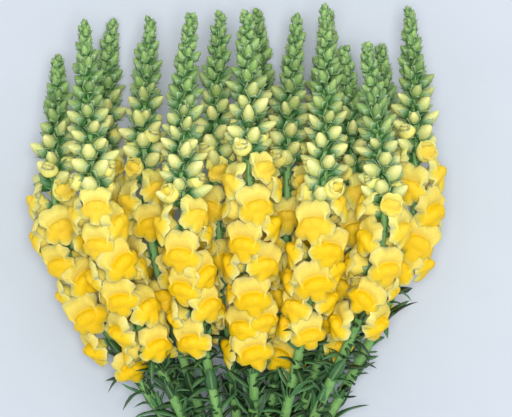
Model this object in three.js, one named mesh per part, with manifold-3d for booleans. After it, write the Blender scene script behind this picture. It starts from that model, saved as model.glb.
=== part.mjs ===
// A bunch of fifteen cut snapdragon stems, tied with twine and laid down.
//
// Millimetres, +Z up. The bunch lies on the plane z = 0 with its stems along Y, the tips towards
// +Y and the cut ends towards -Y. While it is worked out the twine is at y = 0; the finished group
// is then moved so that the origin is the middle of the underside of its box.
//
// Every flowering stem is two solids: the green one is the stem with its leaves and buds, and the
// yellow one is its open blooms, which stand out of a slim sleeve of flower bases round the stem.

import * as THREE from 'three';
import { mergeVertices } from 'three/addons/utils/BufferGeometryUtils.js';
import Module from 'manifold-3d';

const wasm = await Module();
wasm.setup();

// ---- Driving dimensions: the fan ------------------------------------------------------------

const CUT_LENGTH = 150; // stem below the tie
const NECK_HALF = 6; // the stems run side by side this far to each side of the tie's middle
const NECK_X = -4; // the fan leans a little to the left of the tie
const OPEN_LENGTH = 330; // from the tie to where the fan is fully open
const LEAN_START = 230; // from here a spike leans towards its own tip
const ROW_HEIGHT = [29, 78, 126]; // axes of the three rows of stems where the fan is open
const SWAY = 2.5; // how far a stem waves to each side of its smooth path
const SWAY_WAVES = [55, 48]; // length of those waves in one radian, sideways and up
const TAIL_SPREAD = 0.3; // how much wider the bundle is at the cut ends
const TAIL_RISE = 1.5; // and how much further apart its rows are

// One row for each stem: which of the three rows it lies in, its place across the neck counted in
// stem widths, its x where the fan is open, the x and y of its tip, and the y of its first and
// last open bloom.
const STEMS = [
  { row: 1, neck: -2.5, openX: -158, tip: [-158, 428], blooms: [182, 342] },
  { row: 2, neck: -2.0, openX: -120, tip: [-130, 450], blooms: [188, 342] },
  { row: 0, neck: -1.0, openX: -122, tip: [-115, 460], blooms: [198, 364] },
  { row: 1, neck: -1.5, openX: -88, tip: [-80, 457], blooms: [202, 362] },
  { row: 2, neck: -1.0, openX: -57, tip: [-47, 456], blooms: [196, 334] },
  { row: 1, neck: -0.5, openX: -29, tip: [-28, 461], blooms: [212, 360] },
  { row: 2, neck: 0.0, openX: 0, tip: [-8, 457], blooms: [188, 368] },
  { row: 0, neck: 0.0, openX: 0, tip: [2, 469], blooms: [206, 370] },
  { row: 1, neck: 0.5, openX: 27, tip: [32, 458], blooms: [174, 360] },
  { row: 2, neck: 1.0, openX: 54, tip: [51, 462], blooms: [202, 336] },
  { row: 0, neck: 1.0, openX: 56, tip: [60, 466], blooms: [214, 364] },
  { row: 1, neck: 1.5, openX: 82, tip: [67, 435], blooms: [202, 350] },
  { row: 2, neck: 2.0, openX: 103, tip: [87, 434], blooms: [210, 326] },
  { row: 0, neck: 2.0, openX: 108, tip: [100, 439], blooms: [226, 350] },
  { row: 1, neck: 2.5, openX: 131, tip: [119, 464], blooms: [246, 364] },
];

// ---- Driving dimensions: one flowering stem ---------------------------------------------------

const STEM_RADIUS = 4; // from the cut end to the lowest bloom
const SPIKE_RADIUS = 2.8; // at the last open bloom
const TAPER_LEAD = 20; // the stem starts to taper this far below its first bloom
const STEM_SIDES = 6;
const SLEEVE_WALL = 2.6; // flower bases round the stem
const SLEEVE_ENDS = [6, 4]; // how far they reach below the first bloom and past the last one
const RING_STEPS = 3; // stretches of the stem below its blooms, and among them
const CLEAR = 0.35; // between solids that touch in life
const SLEEVE_GAP = CLEAR / Math.cos(Math.PI / STEM_SIDES); // the same, measured at their corners

const GOLDEN_ANGLE = Math.PI * (3 - Math.sqrt(5)); // turn from one bloom or bud to the next
const BLOOM_STEP = 8.1; // along the stem from one bloom to the next
const TURN_SCATTER = 0.8; // how far the turns stray from that, in radians
const BLOOM_REACH = 24; // from the stem's axis to the middle of a bloom's face
const BLOOM_SIZE = [0.84, 0.96]; // smallest and largest, as shares of the full size below
const YOUNG_SIZE = 0.85; // size of the last bloom to open, as a share of the others'
const BLOOM_PITCH = [0.7, 0.12]; // angle up along the stem, of young and of full blooms, in radians
const TURN_TO_LIGHT = 0.35; // how far a full bloom turns up from the surface, 0 for not at all
const OPENS_AT = [0.08, 0.26]; // ages, from 0 to 1, at which a bloom starts and ends opening
const CLOSED_WIDTH = 0.66; // of a bloom that is still closed, as a share of its open width

// Half of a full bloom's face, as distance out along the bloom, height towards the tip and distance
// to the side: the notch and lobe of the upper lip, and the side and middle lobes of the lower lip.
const RIM = {
  notch: [22, 14, 0],
  upperLobe: [20, 17, 11],
  sideLobe: [21, -7, 15],
  middleLobe: [21, -17.5, 0],
};
const MOUTH = { out: 14, radius: 8.5, low: 0 }; // where the tube opens into the lips
const THROAT = { out: 20.5, radius: 9, low: 3 }; // the groove round the palate
const PALATE = [29, -3, 0]; // the swelling of the lower lip that closes the mouth
const ROOT_DEPTH = 1.2; // from the stem's side to the point where a bloom starts

// How the blooms make room for each other.
const FACE_RADIUS = 13; // the ball that a face keeps to itself among its neighbours
const SLEEVE_ROOM = 7; // radius that a stem keeps among its own blooms
const SLEEVE_ROOM_LEAD = 10; // and from this far below them
const SPIKE_ROOM = [11, 3]; // radius that a spike of buds keeps, at its foot and at its tip
const BARE_ROOM = 5; // radius that the stem keeps below its blooms
const SURFACE_DIP = 1; // a face's ball may reach this far below the surface
const SETTLE_ROUNDS = 90;
const SPRING = 0.05; // pull back to the natural direction
const YIELD = 0.6; // share of each push that is taken in one round
const CROWDED_STEP = 0.05; // a crowded bloom gets narrower by this share at a time
const CROWDED_WIDTH = 0.48; // down to this share of its width
const SHORTENED = 0.7; // and shorter, towards this share of its length

const BUDS_START = 10; // from the last open bloom to the first whorl of buds
const BUDS_END = 4; // the top bud's own length
const BUD_STEP = [10, 5.5]; // from one whorl of buds to the next, by the blooms and at the tip
const BUD_REACH = [14, 4]; // from the stem's axis to the tips of a whorl
const BUD_RISE = [7, 4]; // how far the buds point up along the stem
const BUD_CORE = [5, 1.2]; // the axis between the buds

const LEAF_COUNT = 3;
const LEAF_START = 62; // y of the lowest leaf
const LEAF_STOP = 12; // the highest leaf starts this far below the first bloom
const LEAF_SCATTER = 0.6; // how far a leaf may start along its own stretch of the stem
const LEAF_LENGTH = 44;
const LEAF_WIDTH = 8;
const LEAF_KEEL = 1.2; // thickness of a leaf along its rib
const LEAF_FOLD = 0.15; // how far its edges lie below the rib, as a share of its width
const LEAF_ARCH = 0.15; // how far its tip bends out, as a share of its length
const LEAF_LEAN = [0.2, 0.38]; // angle between a leaf and the stem at its root, in radians
const LEAF_SIZES = [1, 0.75, 0.5]; // a leaf takes the first of these sizes that has room
const LEAF_TURNS = 8; // directions round the stem that it may take
// Distance from a leaf's middle line to the surface, another stem's room, the middle of a bloom's
// face, the middle of its tube, and another leaf.
const LEAF_ROOM = { surface: 1, stem: 3, face: 18, tube: 10, leaf: 7 };

// ---- Driving dimensions: the twine ------------------------------------------------------------

const TWINE_RADIUS = 1.4;
const TWINE_TURNS = 3;
const TWINE_STEPS = 16; // faces round the bundle
const KNOT_RADIUS = 3.2;

// ---- Small helpers ------------------------------------------------------------------------------

const lerp = (a, b, t) => a + (b - a) * t;
const clamp01 = (t) => Math.min(1, Math.max(0, t));

// Draws numbers from 0 to 1, the same ones in every run.
let randomState = 20261;
function random() {
  randomState = (Math.imul(randomState, 1664525) + 1013904223) >>> 0;
  return randomState / 4294967296;
}

// ---- The path of a stem -------------------------------------------------------------------------

const NECK_PITCH = 2 * STEM_RADIUS + 0.5; // between two stems in the neck
const STEM_FLAT = STEM_RADIUS * Math.cos(Math.PI / STEM_SIDES); // from the axis to a side
const NECK_BOTTOM = 2 * TWINE_RADIUS + CLEAR + STEM_RADIUS; // height of the lowest stems there

STEMS.forEach((stem, index) => {
  stem.index = index;
  stem.neckX = NECK_X + stem.neck * NECK_PITCH;
  stem.neckZ = NECK_BOTTOM + stem.row * NECK_PITCH * Math.sin(Math.PI / 3);
  stem.swayPhase = 2 * Math.PI * random();
  stem.turn = 2 * Math.PI * random();
});

// How far the fan has opened at y, from 0 at the tie to 1, in an even S-curve.
function openness(y) {
  const t = clamp01((y - NECK_HALF) / (OPEN_LENGTH - NECK_HALF));
  return t * t * (3 - 2 * t);
}

function axisPoint(stem, y) {
  const open = openness(y);
  const lean = Math.max(0, (y - LEAN_START) / (stem.tip[1] - LEAN_START)) ** 2;
  const tail = clamp01((-y - NECK_HALF) / (CUT_LENGTH - NECK_HALF));
  const neckX = NECK_X + (stem.neckX - NECK_X) * (1 + TAIL_SPREAD * tail);
  const neckZ = stem.neckZ + tail * (STEM_FLAT - NECK_BOTTOM + TAIL_RISE * stem.row);
  const sway = SWAY * open * Math.sin(y / SWAY_WAVES[0] + stem.swayPhase);
  const lift = SWAY * open * Math.cos(y / SWAY_WAVES[1] + stem.swayPhase);
  return new THREE.Vector3(
    lerp(neckX, stem.openX, open) + (stem.tip[0] - stem.openX) * lean + sway,
    y,
    lerp(neckZ, ROW_HEIGHT[stem.row], open) + lift,
  );
}

// The frame of a stem at y: along points to the tip, up is as near +Z as it can be.
function axisFrame(stem, y) {
  const along = axisPoint(stem, y + 1).sub(axisPoint(stem, y - 1)).normalize();
  const side = along.clone().cross(new THREE.Vector3(0, 0, 1)).normalize();
  const up = side.clone().cross(along);
  return { origin: axisPoint(stem, y), along, side, up };
}

function stemRadius(stem, y) {
  const [start, last] = [stem.blooms[0] - TAPER_LEAD, stem.blooms[1]];
  return lerp(STEM_RADIUS, SPIKE_RADIUS, clamp01((y - start) / (last - start)));
}

// ---- Closed solids out of rings of points ---------------------------------------------------------

// The triangles between two rings of n and m points, where m is n, 2 n or n / 2, or one of them 1.
function joinRings(n, m) {
  const triangles = [];
  const count = n === 1 || m === 1 ? Math.max(n, m) : Math.min(n, m);
  for (let k = 0; k < count; k += 1) {
    const [a, a1] = [k % n, (k + 1) % n];
    const [b, b1] = [n + (k % m), n + ((k + 1) % m)];
    if (n === 1) triangles.push([0, b1, b]);
    else if (m === 1) triangles.push([a, a1, n]);
    else if (n === m) triangles.push([a, a1, b1], [a, b1, b]);
    else if (m > n) {
      const [middle, next] = [n + 2 * k + 1, n + ((2 * k + 2) % m)];
      triangles.push([a, middle, n + 2 * k], [a, a1, middle], [a1, next, middle]);
    } else {
      const [middle, next] = [2 * k + 1, (2 * k + 2) % n];
      triangles.push([2 * k, middle, b], [middle, b1, b], [middle, next, b1]);
    }
  }
  return triangles;
}

// One closed geometry from a row of rings. Seen from its far end, each ring runs anticlockwise.
function loft(rings) {
  const index = [];
  const first = rings[0].length;
  for (let k = 1; k < first - 1; k += 1) index.push(0, k + 1, k);
  let start = 0;
  for (let r = 0; r < rings.length - 1; r += 1) {
    const triangles = joinRings(rings[r].length, rings[r + 1].length);
    for (const triangle of triangles) index.push(...triangle.map((corner) => start + corner));
    start += rings[r].length;
  }
  const last = rings[rings.length - 1].length;
  for (let k = 1; k < last - 1; k += 1) index.push(start, start + k, start + k + 1);
  const geometry = new THREE.BufferGeometry().setFromPoints(rings.flat());
  geometry.setIndex(index);
  return geometry;
}

// A point given along, up and across in a frame.
function inFrame(frame, along, up, side) {
  return frame.origin.clone()
    .addScaledVector(frame.along, along)
    .addScaledVector(frame.up, up)
    .addScaledVector(frame.side, side);
}

// A ring of evenly spaced points round a frame's origin, anticlockwise seen from its far end.
function ringOf(frame, along, radius, sides) {
  const ring = [];
  for (let k = 0; k < sides; k += 1) {
    const angle = (2 * Math.PI * (k + 0.5)) / sides;
    ring.push(inFrame(frame, along, radius * Math.cos(angle), radius * Math.sin(angle)));
  }
  return ring;
}

function toSolid(geometry) {
  const merged = mergeVertices(geometry, 1e-4);
  return new wasm.Manifold(new wasm.Mesh({
    numProp: 3,
    vertProperties: merged.attributes.position.array,
    triVerts: Uint32Array.from(merged.index.array),
  }));
}

function toGeometry(solid) {
  const mesh = solid.getMesh();
  const geometry = new THREE.BufferGeometry();
  geometry.setAttribute('position', new THREE.BufferAttribute(mesh.vertProperties, 3));
  geometry.setIndex(Array.from(mesh.triVerts));
  geometry.computeVertexNormals();
  return geometry;
}

// The largest body of a solid: scraps that a cut leaves loose are dropped.
function largestBody(solid) {
  return solid.decompose().reduce((best, body) => (body.volume() > best.volume() ? body : best));
}

// The same geometry with every face moved out by about the clearance, or a little more.
function grown(geometry) {
  const step = 1.3 * CLEAR;
  const wider = mergeVertices(geometry, 1e-4);
  wider.computeVertexNormals();
  const { position, normal } = wider.attributes;
  for (let k = 0; k < position.count; k += 1) {
    position.setXYZ(
      k,
      position.getX(k) + step * normal.getX(k),
      position.getY(k) + step * normal.getY(k),
      position.getZ(k) + step * normal.getZ(k),
    );
  }
  wider.deleteAttribute('normal');
  return wider;
}

// ---- Where the blooms go ------------------------------------------------------------------------

// Every bloom starts out at its turn round the stem and keeps its root; the crowd then turns the
// faces away from each other, from the stems beside them and from the surface below.
function placeBlooms() {
  const blooms = [];
  for (const stem of STEMS) {
    const [first, last] = stem.blooms;
    const count = Math.round((last - first) / BLOOM_STEP);
    for (let k = 0; k < count; k += 1) {
      const age = 1 - (k + 0.5) / count;
      const y = lerp(last, first, age);
      const frame = axisFrame(stem, y);
      const turn = stem.turn + k * GOLDEN_ANGLE + TURN_SCATTER * (random() - 0.5);
      const size = lerp(...BLOOM_SIZE, random()) * lerp(YOUNG_SIZE, 1, clamp01(3 * age));
      const opened = clamp01((age - OPENS_AT[0]) / (OPENS_AT[1] - OPENS_AT[0]));
      const width = lerp(CLOSED_WIDTH, 1, opened);
      const pitch = lerp(...BLOOM_PITCH, clamp01(2 * age));
      const natural = frame.up.clone().multiplyScalar(Math.cos(turn) * Math.cos(pitch))
        .addScaledVector(frame.side, Math.sin(turn) * Math.cos(pitch))
        .addScaledVector(frame.along, Math.sin(pitch));
      natural.z += TURN_TO_LIGHT * opened;
      natural.normalize();
      blooms.push({ stem, y, size, width, frame, natural, facing: natural.clone() });
    }
  }
  for (let round = 0; round < SETTLE_ROUNDS; round += 1) settleOnce(blooms);
  return blooms;
}

// The room that a stem takes up at y, with its flower bases or its buds.
function roomRound(stem, y) {
  const [first, last] = stem.blooms;
  if (y > last) return lerp(...SPIKE_ROOM, clamp01((y - last) / (stem.tip[1] - last)));
  return y > first - SLEEVE_ROOM_LEAD ? SLEEVE_ROOM : BARE_ROOM;
}

function settleOnce(blooms) {
  const centre = blooms.map((bloom) => bloom.frame.origin.clone()
    .addScaledVector(bloom.facing, BLOOM_REACH * bloom.size));
  const push = blooms.map((bloom, i) => {
    const total = bloom.frame.origin.clone()
      .addScaledVector(bloom.natural, BLOOM_REACH * bloom.size)
      .sub(centre[i])
      .multiplyScalar(SPRING);
    const radius = FACE_RADIUS * bloom.size * bloom.width;
    blooms.forEach((other, j) => {
      if (i === j) return;
      const away = centre[i].clone().sub(centre[j]);
      const distance = away.length();
      const overlap = radius + FACE_RADIUS * other.size * other.width - distance;
      if (overlap > 0) total.addScaledVector(away, (0.5 * overlap) / distance);
    });
    for (const stem of STEMS) {
      const y = centre[i].y;
      if (stem === bloom.stem || y > stem.tip[1]) continue;
      const away = centre[i].clone().sub(axisPoint(stem, y));
      const distance = away.length();
      const overlap = radius + roomRound(stem, y) - distance;
      if (overlap > 0) total.addScaledVector(away, overlap / distance);
    }
    total.z += Math.max(0, radius - SURFACE_DIP - centre[i].z);
    return total;
  });
  blooms.forEach((bloom, i) => {
    bloom.facing = centre[i].addScaledVector(push[i], YIELD).sub(bloom.frame.origin).normalize();
  });
}

// ---- The blooms -----------------------------------------------------------------------------------

function bloomFrame(bloom) {
  const { along } = bloom.frame;
  const up = along.clone().addScaledVector(bloom.facing, -along.dot(bloom.facing)).normalize();
  const side = bloom.facing.clone().cross(up);
  return { origin: bloom.frame.origin, along: bloom.facing, up, side };
}

function bloomGeometry(bloom, share) {
  const frame = bloomFrame(bloom);
  const length = bloom.size * lerp(SHORTENED, 1, share);
  const width = bloom.size * bloom.width * share;
  const at = (out, up, side) => inFrame(frame, out * length, up * width, side * width);
  const mirrored = ([out, up, side]) => at(out, up, -side);
  const triangle = ({ out, radius, low }) => [0, 1, 2].map((corner) => {
    const angle = (2 * Math.PI * corner) / 3;
    return at(out, radius * Math.cos(angle) - low, radius * Math.sin(angle));
  });
  return loft([
    [inFrame(frame, stemRadius(bloom.stem, bloom.y) + ROOT_DEPTH, 0, 0)],
    triangle(MOUTH),
    [
      at(...RIM.notch), at(...RIM.upperLobe), at(...RIM.sideLobe),
      at(...RIM.middleLobe), mirrored(RIM.sideLobe), mirrored(RIM.upperLobe),
    ],
    triangle(THROAT),
    [at(...PALATE)],
  ]);
}

// The places along a stem where it has a ring of points.
function stations(stem) {
  const [foot, top] = [stem.blooms[0] - SLEEVE_ENDS[0], stem.blooms[1] + SLEEVE_ENDS[1]];
  const even = (from, to, count) => (
    Array.from({ length: count }, (_, k) => lerp(from, to, k / count)));
  return {
    below: [-CUT_LENGTH, -NECK_HALF, ...even(NECK_HALF, foot, RING_STEPS)],
    among: [...even(foot, top, RING_STEPS), top],
  };
}

// The rings of the sleeve of flower bases, at a distance from the stem's sides.
function sleeveRings(stem, distance) {
  return stations(stem).among.map((y) => (
    ringOf(axisFrame(stem, y), 0, stemRadius(stem, y) + distance, STEM_SIDES)));
}

function sleeveSolid(stem) {
  const bore = sleeveRings(stem, SLEEVE_GAP);
  return toSolid(loftTorus([...sleeveRings(stem, SLEEVE_GAP + SLEEVE_WALL), ...bore.reverse()]));
}

// Rings joined into a closed ring of rings, so that it has a hole from end to end.
function loftTorus(rings) {
  const sides = rings[0].length;
  const index = [];
  rings.forEach((ring, r) => {
    const after = (r + 1) % rings.length;
    for (const triangle of joinRings(sides, sides)) {
      index.push(...triangle.map((c) => (c < sides ? r * sides + c : after * sides + c - sides)));
    }
  });
  const geometry = new THREE.BufferGeometry().setFromPoints(rings.flat());
  geometry.setIndex(index);
  return geometry;
}

// ---- The green stems ------------------------------------------------------------------------------

// Buds stand closer, smaller and steeper towards the tip. Three of them make a whorl: every second
// corner of a ring of six is drawn out to a point, and the next ring draws out the others.
function budRings(stem) {
  const rings = [];
  const [start, tip] = [stem.blooms[1] + BUDS_START, stem.tip[1] - BUDS_END];
  let y = start;
  for (let k = 0; y < tip; k += 1) {
    const t = (y - start) / (tip - start);
    const frame = axisFrame(stem, y);
    const inner = ringOf(frame, 0, lerp(...BUD_CORE, t), STEM_SIDES);
    const outer = ringOf(frame, lerp(...BUD_RISE, t), lerp(...BUD_REACH, t * t), STEM_SIDES);
    rings.push(inner.map((corner, side) => ((side + k) % 2 ? outer[side] : corner)));
    y += lerp(...BUD_STEP, t);
  }
  return rings;
}

function stemGeometry(stem) {
  const { below, among } = stations(stem);
  return loft([
    ...[...below, ...among].map((y) => (
      ringOf(axisFrame(stem, y), 0, stemRadius(stem, y), STEM_SIDES))),
    ...budRings(stem),
    [axisPoint(stem, stem.tip[1])],
  ]);
}

// A frame that starts on the stem's axis at y and leans out from it, turned round it by turn.
function branchFrame(stem, y, turn, lean) {
  const { origin, along: tip, up: over, side: right } = axisFrame(stem, y);
  const out = over.multiplyScalar(Math.cos(turn)).addScaledVector(right, Math.sin(turn));
  const along = tip.clone().multiplyScalar(Math.cos(lean)).addScaledVector(out, Math.sin(lean));
  const up = tip.multiplyScalar(-Math.sin(lean)).addScaledVector(out, Math.cos(lean));
  return { origin, along, up, side: along.clone().cross(up) };
}

// The room that blooms, stems and leaves leave round a row of points, negative where they cross.
function freeRoom(points, stem, blooms, leaves) {
  let room = Infinity;
  for (const point of points) {
    room = Math.min(room, point.z - LEAF_ROOM.surface);
    for (const other of STEMS) {
      if (other === stem || point.y > other.tip[1]) continue;
      const taken = roomRound(other, point.y) + LEAF_ROOM.stem;
      room = Math.min(room, point.distanceTo(axisPoint(other, point.y)) - taken);
    }
    for (const bloom of blooms) {
      const face = inFrame(bloomFrame(bloom), BLOOM_REACH * bloom.size, 0, 0);
      const tube = inFrame(bloomFrame(bloom), 0.5 * BLOOM_REACH * bloom.size, 0, 0);
      room = Math.min(room, point.distanceTo(face) - LEAF_ROOM.face);
      room = Math.min(room, point.distanceTo(tube) - LEAF_ROOM.tube);
    }
    for (const leaf of leaves) {
      for (const near of leafPoints(leaf)) {
        room = Math.min(room, point.distanceTo(near) - LEAF_ROOM.leaf);
      }
    }
  }
  return room;
}

// The middle line of a leaf at t, from 0 at its root to 1 at its tip: it arches out from the stem.
function leafPoint({ frame, length }, t, up = 0, side = 0) {
  return inFrame(frame, length * t, LEAF_ARCH * length * t * t + up, side);
}

function leafPoints(leaf) {
  return [0.25, 0.45, 0.65, 0.85, 1].map((t) => leafPoint(leaf, t));
}

// A leaf turns to the side of its stem that has the most room, and is shorter where none has enough.
function placeLeaves(blooms) {
  const leaves = [];
  for (let k = 0; k < LEAF_COUNT; k += 1) {
    for (const stem of STEMS) {
      const place = (k + LEAF_SCATTER * random()) / LEAF_COUNT;
      const y = lerp(LEAF_START, stem.blooms[0] - LEAF_STOP, place);
      const lean = lerp(...LEAF_LEAN, random());
      for (const size of LEAF_SIZES) {
        const choices = Array.from({ length: LEAF_TURNS }, (_, step) => {
          const turn = (2 * Math.PI * step) / LEAF_TURNS;
          const leaf = { stem, length: LEAF_LENGTH * size, frame: branchFrame(stem, y, turn, lean) };
          return { leaf, room: freeRoom(leafPoints(leaf), stem, blooms, leaves) };
        });
        const best = choices.reduce((a, b) => (b.room > a.room ? b : a));
        if (best.room > 0) {
          leaves.push(best.leaf);
          break;
        }
      }
    }
  }
  return leaves;
}

function leafGeometry(leaf) {
  const across = (t, width) => [
    leafPoint(leaf, t, LEAF_KEEL),
    leafPoint(leaf, t, -LEAF_FOLD * width, width / 2),
    leafPoint(leaf, t, -LEAF_FOLD * width, -width / 2),
  ];
  return loft([
    [leafPoint(leaf, 0)],
    across(0.35, LEAF_WIDTH),
    across(0.65, 0.8 * LEAF_WIDTH),
    [leafPoint(leaf, 1)],
  ]);
}

// ---- The twine --------------------------------------------------------------------------------------

// A point of a taut thread round the neck, at a distance from the stems' sides and at y.
function roundTheNeck(angle, distance, y) {
  const [nx, nz] = [Math.sin(angle), Math.cos(angle)];
  const reach = (stem) => stem.neckX * nx + stem.neckZ * nz;
  const outer = STEMS.reduce((best, stem) => (reach(stem) > reach(best) ? stem : best));
  const out = STEM_RADIUS + distance;
  return new THREE.Vector3(outer.neckX + out * nx, y, outer.neckZ + out * nz);
}

function twineSolid() {
  const half = TWINE_TURNS * TWINE_RADIUS;
  const section = [[0, -half], [0, half], [TWINE_RADIUS, half]];
  for (let turn = 0; turn < TWINE_TURNS; turn += 1) {
    const y = half - (2 * turn + 1) * TWINE_RADIUS;
    section.push([2 * TWINE_RADIUS, y], [TWINE_RADIUS, y - TWINE_RADIUS]);
  }
  const rings = Array.from({ length: TWINE_STEPS }, (_, k) => (
    section.map(([out, y]) => roundTheNeck((2 * Math.PI * k) / TWINE_STEPS, CLEAR + out, y))));
  const knot = new THREE.SphereGeometry(1, 6, 4).scale(1.5 * KNOT_RADIUS, KNOT_RADIUS, KNOT_RADIUS);
  knot.translate(NECK_X, 0, roundTheNeck(0, CLEAR + 2 * TWINE_RADIUS, 0).z);
  return toSolid(loftTorus(rings)).add(toSolid(withoutExtras(knot)));
}

// A geometry that is left with its places alone, so that its shared corners can be merged.
function withoutExtras(geometry) {
  geometry.deleteAttribute('normal');
  geometry.deleteAttribute('uv');
  return geometry;
}

// ---- Main -----------------------------------------------------------------------------------------

const blooms = placeBlooms();
const leaves = placeLeaves(blooms);
const group = new THREE.Group();
const greenMaterial = new THREE.MeshStandardMaterial({ color: 0x5f9450, roughness: 0.6 });
const yellowMaterial = new THREE.MeshStandardMaterial({ color: 0xf5dc4a, roughness: 0.55 });
const twineMaterial = new THREE.MeshStandardMaterial({ color: 0xb99b6b, roughness: 0.9 });

function addNode(name, solid, material) {
  const onSurface = solid.trimByPlane([0, 0, 1], 0);
  const mesh = new THREE.Mesh(toGeometry(largestBody(onSurface)), material);
  mesh.name = name;
  group.add(mesh);
}

// What a bloom has to stay clear of: each solid a little larger, with its box. The axis of a stem is
// its shaft and the sleeve round it, which all its blooms grow out of.
function keepOut(stem, material, geometry, isAxis = false) {
  const solid = toSolid(grown(geometry)).add(toSolid(geometry));
  const { min, max } = solid.boundingBox();
  const box = new THREE.Box3(new THREE.Vector3(...min), new THREE.Vector3(...max));
  return { stem, material, solid, box, isAxis };
}

// A bloom that others leave no room for is narrower, and is cut back where that isn't enough. It may
// run into the yellow solid of its own stem, and is cut out round its own shaft.
function clearBloom(bloom, keepOuts) {
  let solid;
  for (let share = 1; share >= CROWDED_WIDTH; share -= CROWDED_STEP) {
    const geometry = bloomGeometry(bloom, share);
    geometry.computeBoundingBox();
    const whole = toSolid(geometry);
    const crossed = keepOuts
      .filter((other) => other.box.intersectsBox(geometry.boundingBox))
      .filter((other) => whole.intersect(other.solid).numTri() > 0);
    solid = crossed
      .filter((other) => other.stem !== bloom.stem || other.material !== yellowMaterial)
      .reduce((left, other) => left.subtract(other.solid), whole);
    if (crossed.every((other) => other.stem === bloom.stem && other.isAxis)) break;
  }
  return largestBody(solid);
}

const keepOuts = [];
for (const stem of STEMS) {
  const label = String(stem.index + 1).padStart(2, '0');
  const shaft = stemGeometry(stem);
  const own = leaves.filter((leaf) => leaf.stem === stem).map(leafGeometry);
  keepOuts.push(keepOut(stem, greenMaterial, shaft, true));
  keepOuts.push(...own.map((leaf) => keepOut(stem, greenMaterial, leaf)));
  keepOuts.push(keepOut(stem, yellowMaterial, loft(sleeveRings(stem, SLEEVE_GAP + SLEEVE_WALL)), true));
  const green = own.reduce((solid, leaf) => solid.add(toSolid(leaf)), toSolid(shaft));
  addNode(`stem_${label}`, green, greenMaterial);
}

for (const stem of STEMS) {
  const label = String(stem.index + 1).padStart(2, '0');
  let yellow = sleeveSolid(stem);
  for (const bloom of blooms.filter((one) => one.stem === stem)) {
    const solid = clearBloom(bloom, keepOuts);
    yellow = yellow.add(solid);
    keepOuts.push(keepOut(stem, yellowMaterial, toGeometry(solid)));
  }
  addNode(`blooms_${label}`, yellow, yellowMaterial);
}

addNode('tie', twineSolid(), twineMaterial);

const box = new THREE.Box3().setFromObject(group);
const middle = box.getCenter(new THREE.Vector3());
group.position.set(-middle.x, -middle.y, -box.min.z);

export default group;
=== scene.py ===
# %% [markdown]
# # A bunch of cut snapdragons
#
# Fifteen flowering stems, cut and tied with twine, lie on a pale table and are seen from
# straight above. Every stem is a raceme: open two-lipped flowers below, then fat pale buds,
# then smaller and greener ones up to the tip. Each piece below is a surface worked out with
# numpy and stands for one solid of the construction model, which keeps the real sizes.

# %% The frame
import math

import bpy
import numpy as np
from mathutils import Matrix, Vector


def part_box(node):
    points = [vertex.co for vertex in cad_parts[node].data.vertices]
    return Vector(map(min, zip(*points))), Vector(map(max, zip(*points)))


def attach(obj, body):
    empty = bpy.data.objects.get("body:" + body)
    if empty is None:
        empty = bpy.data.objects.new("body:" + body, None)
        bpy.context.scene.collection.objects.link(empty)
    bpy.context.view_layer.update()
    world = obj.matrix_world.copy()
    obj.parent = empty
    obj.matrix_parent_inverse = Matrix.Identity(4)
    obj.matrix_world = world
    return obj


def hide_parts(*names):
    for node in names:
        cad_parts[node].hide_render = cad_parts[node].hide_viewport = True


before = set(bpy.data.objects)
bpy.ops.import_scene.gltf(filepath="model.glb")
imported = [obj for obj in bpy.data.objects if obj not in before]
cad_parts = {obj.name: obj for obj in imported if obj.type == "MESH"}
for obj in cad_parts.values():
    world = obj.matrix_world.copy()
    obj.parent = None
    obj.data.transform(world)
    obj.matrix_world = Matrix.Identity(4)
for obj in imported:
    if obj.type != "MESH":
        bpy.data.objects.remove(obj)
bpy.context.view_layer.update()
MM = 0.001  # the growth rules below are in millimetres, and meshes are in metres
tie_low, tie_high = (np.array(corner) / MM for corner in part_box("tie"))

# %% [markdown]
# ## Where things are counted from
#
# The growth rules count y from the twine towards the tips and z from the table, and the neck
# of the bunch has its own x. The twine's solid tells where that place is in the frame, so
# nothing is fitted by eye.

# %% The shift from the growth rules to the frame
NECK_X = -4.0
SHIFT = np.array([(tie_low[0] + tie_high[0]) / 2 - NECK_X, (tie_low[1] + tie_high[1]) / 2, 0.0])
print("shift in millimetres:", SHIFT.round(2))

# %% [markdown]
# ## Camera, table and light
#
# A flat bunch is seen from above through a long lens, so that the high flowers in the middle
# don't look much larger than the low ones at the sides. A wide soft lamp beyond the tips gives
# the petals their form. A smaller one beside the camera shines down between the flowers, and
# an even pale surrounding keeps what is left of the shadows open.


# %% Camera
def add_object(name, data):
    """A new object in the scene that shows the data."""
    made = bpy.data.objects.new(name, data)
    bpy.context.scene.collection.objects.link(made)
    return made


VIEW_CENTRE = np.array([0.8, 306.4, 90.0])  # what the middle of the picture shows
VIEW_WIDTH = 400.0
LENS = 150.0
SENSOR = 36.0

camera_data = bpy.data.cameras.new("camera")
camera_data.lens = LENS
camera_data.sensor_width = SENSOR
camera = add_object("camera", camera_data)
distance = VIEW_WIDTH * LENS / SENSOR
camera.location = (VIEW_CENTRE + SHIFT + [0, 0, distance]) * MM
bpy.context.scene.camera = camera
bpy.context.scene.view_settings.view_transform = "Standard"
print("camera height in metres:", round(camera.location.z, 3))


# %% Light
def soft_box(name, place, size, power, colour):
    """A square lamp at a place in metres that shines at the middle of the bunch."""
    data = bpy.data.lights.new(name, "AREA")
    data.size = size
    data.energy = power
    data.color = colour
    lamp = add_object(name, data)
    lamp.location = place
    lamp.rotation_euler = lamp.location.to_track_quat("Z", "Y").to_euler()
    lamp.visible_camera = False


soft_box("key_light", place=(1.1, 1.4, 1.8), size=1.8, power=8, colour=(1.0, 0.985, 0.95))
soft_box("front_light", place=(0.05, 0.15, 2.2), size=0.5, power=37, colour=(0.98, 0.99, 1.0))

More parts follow.
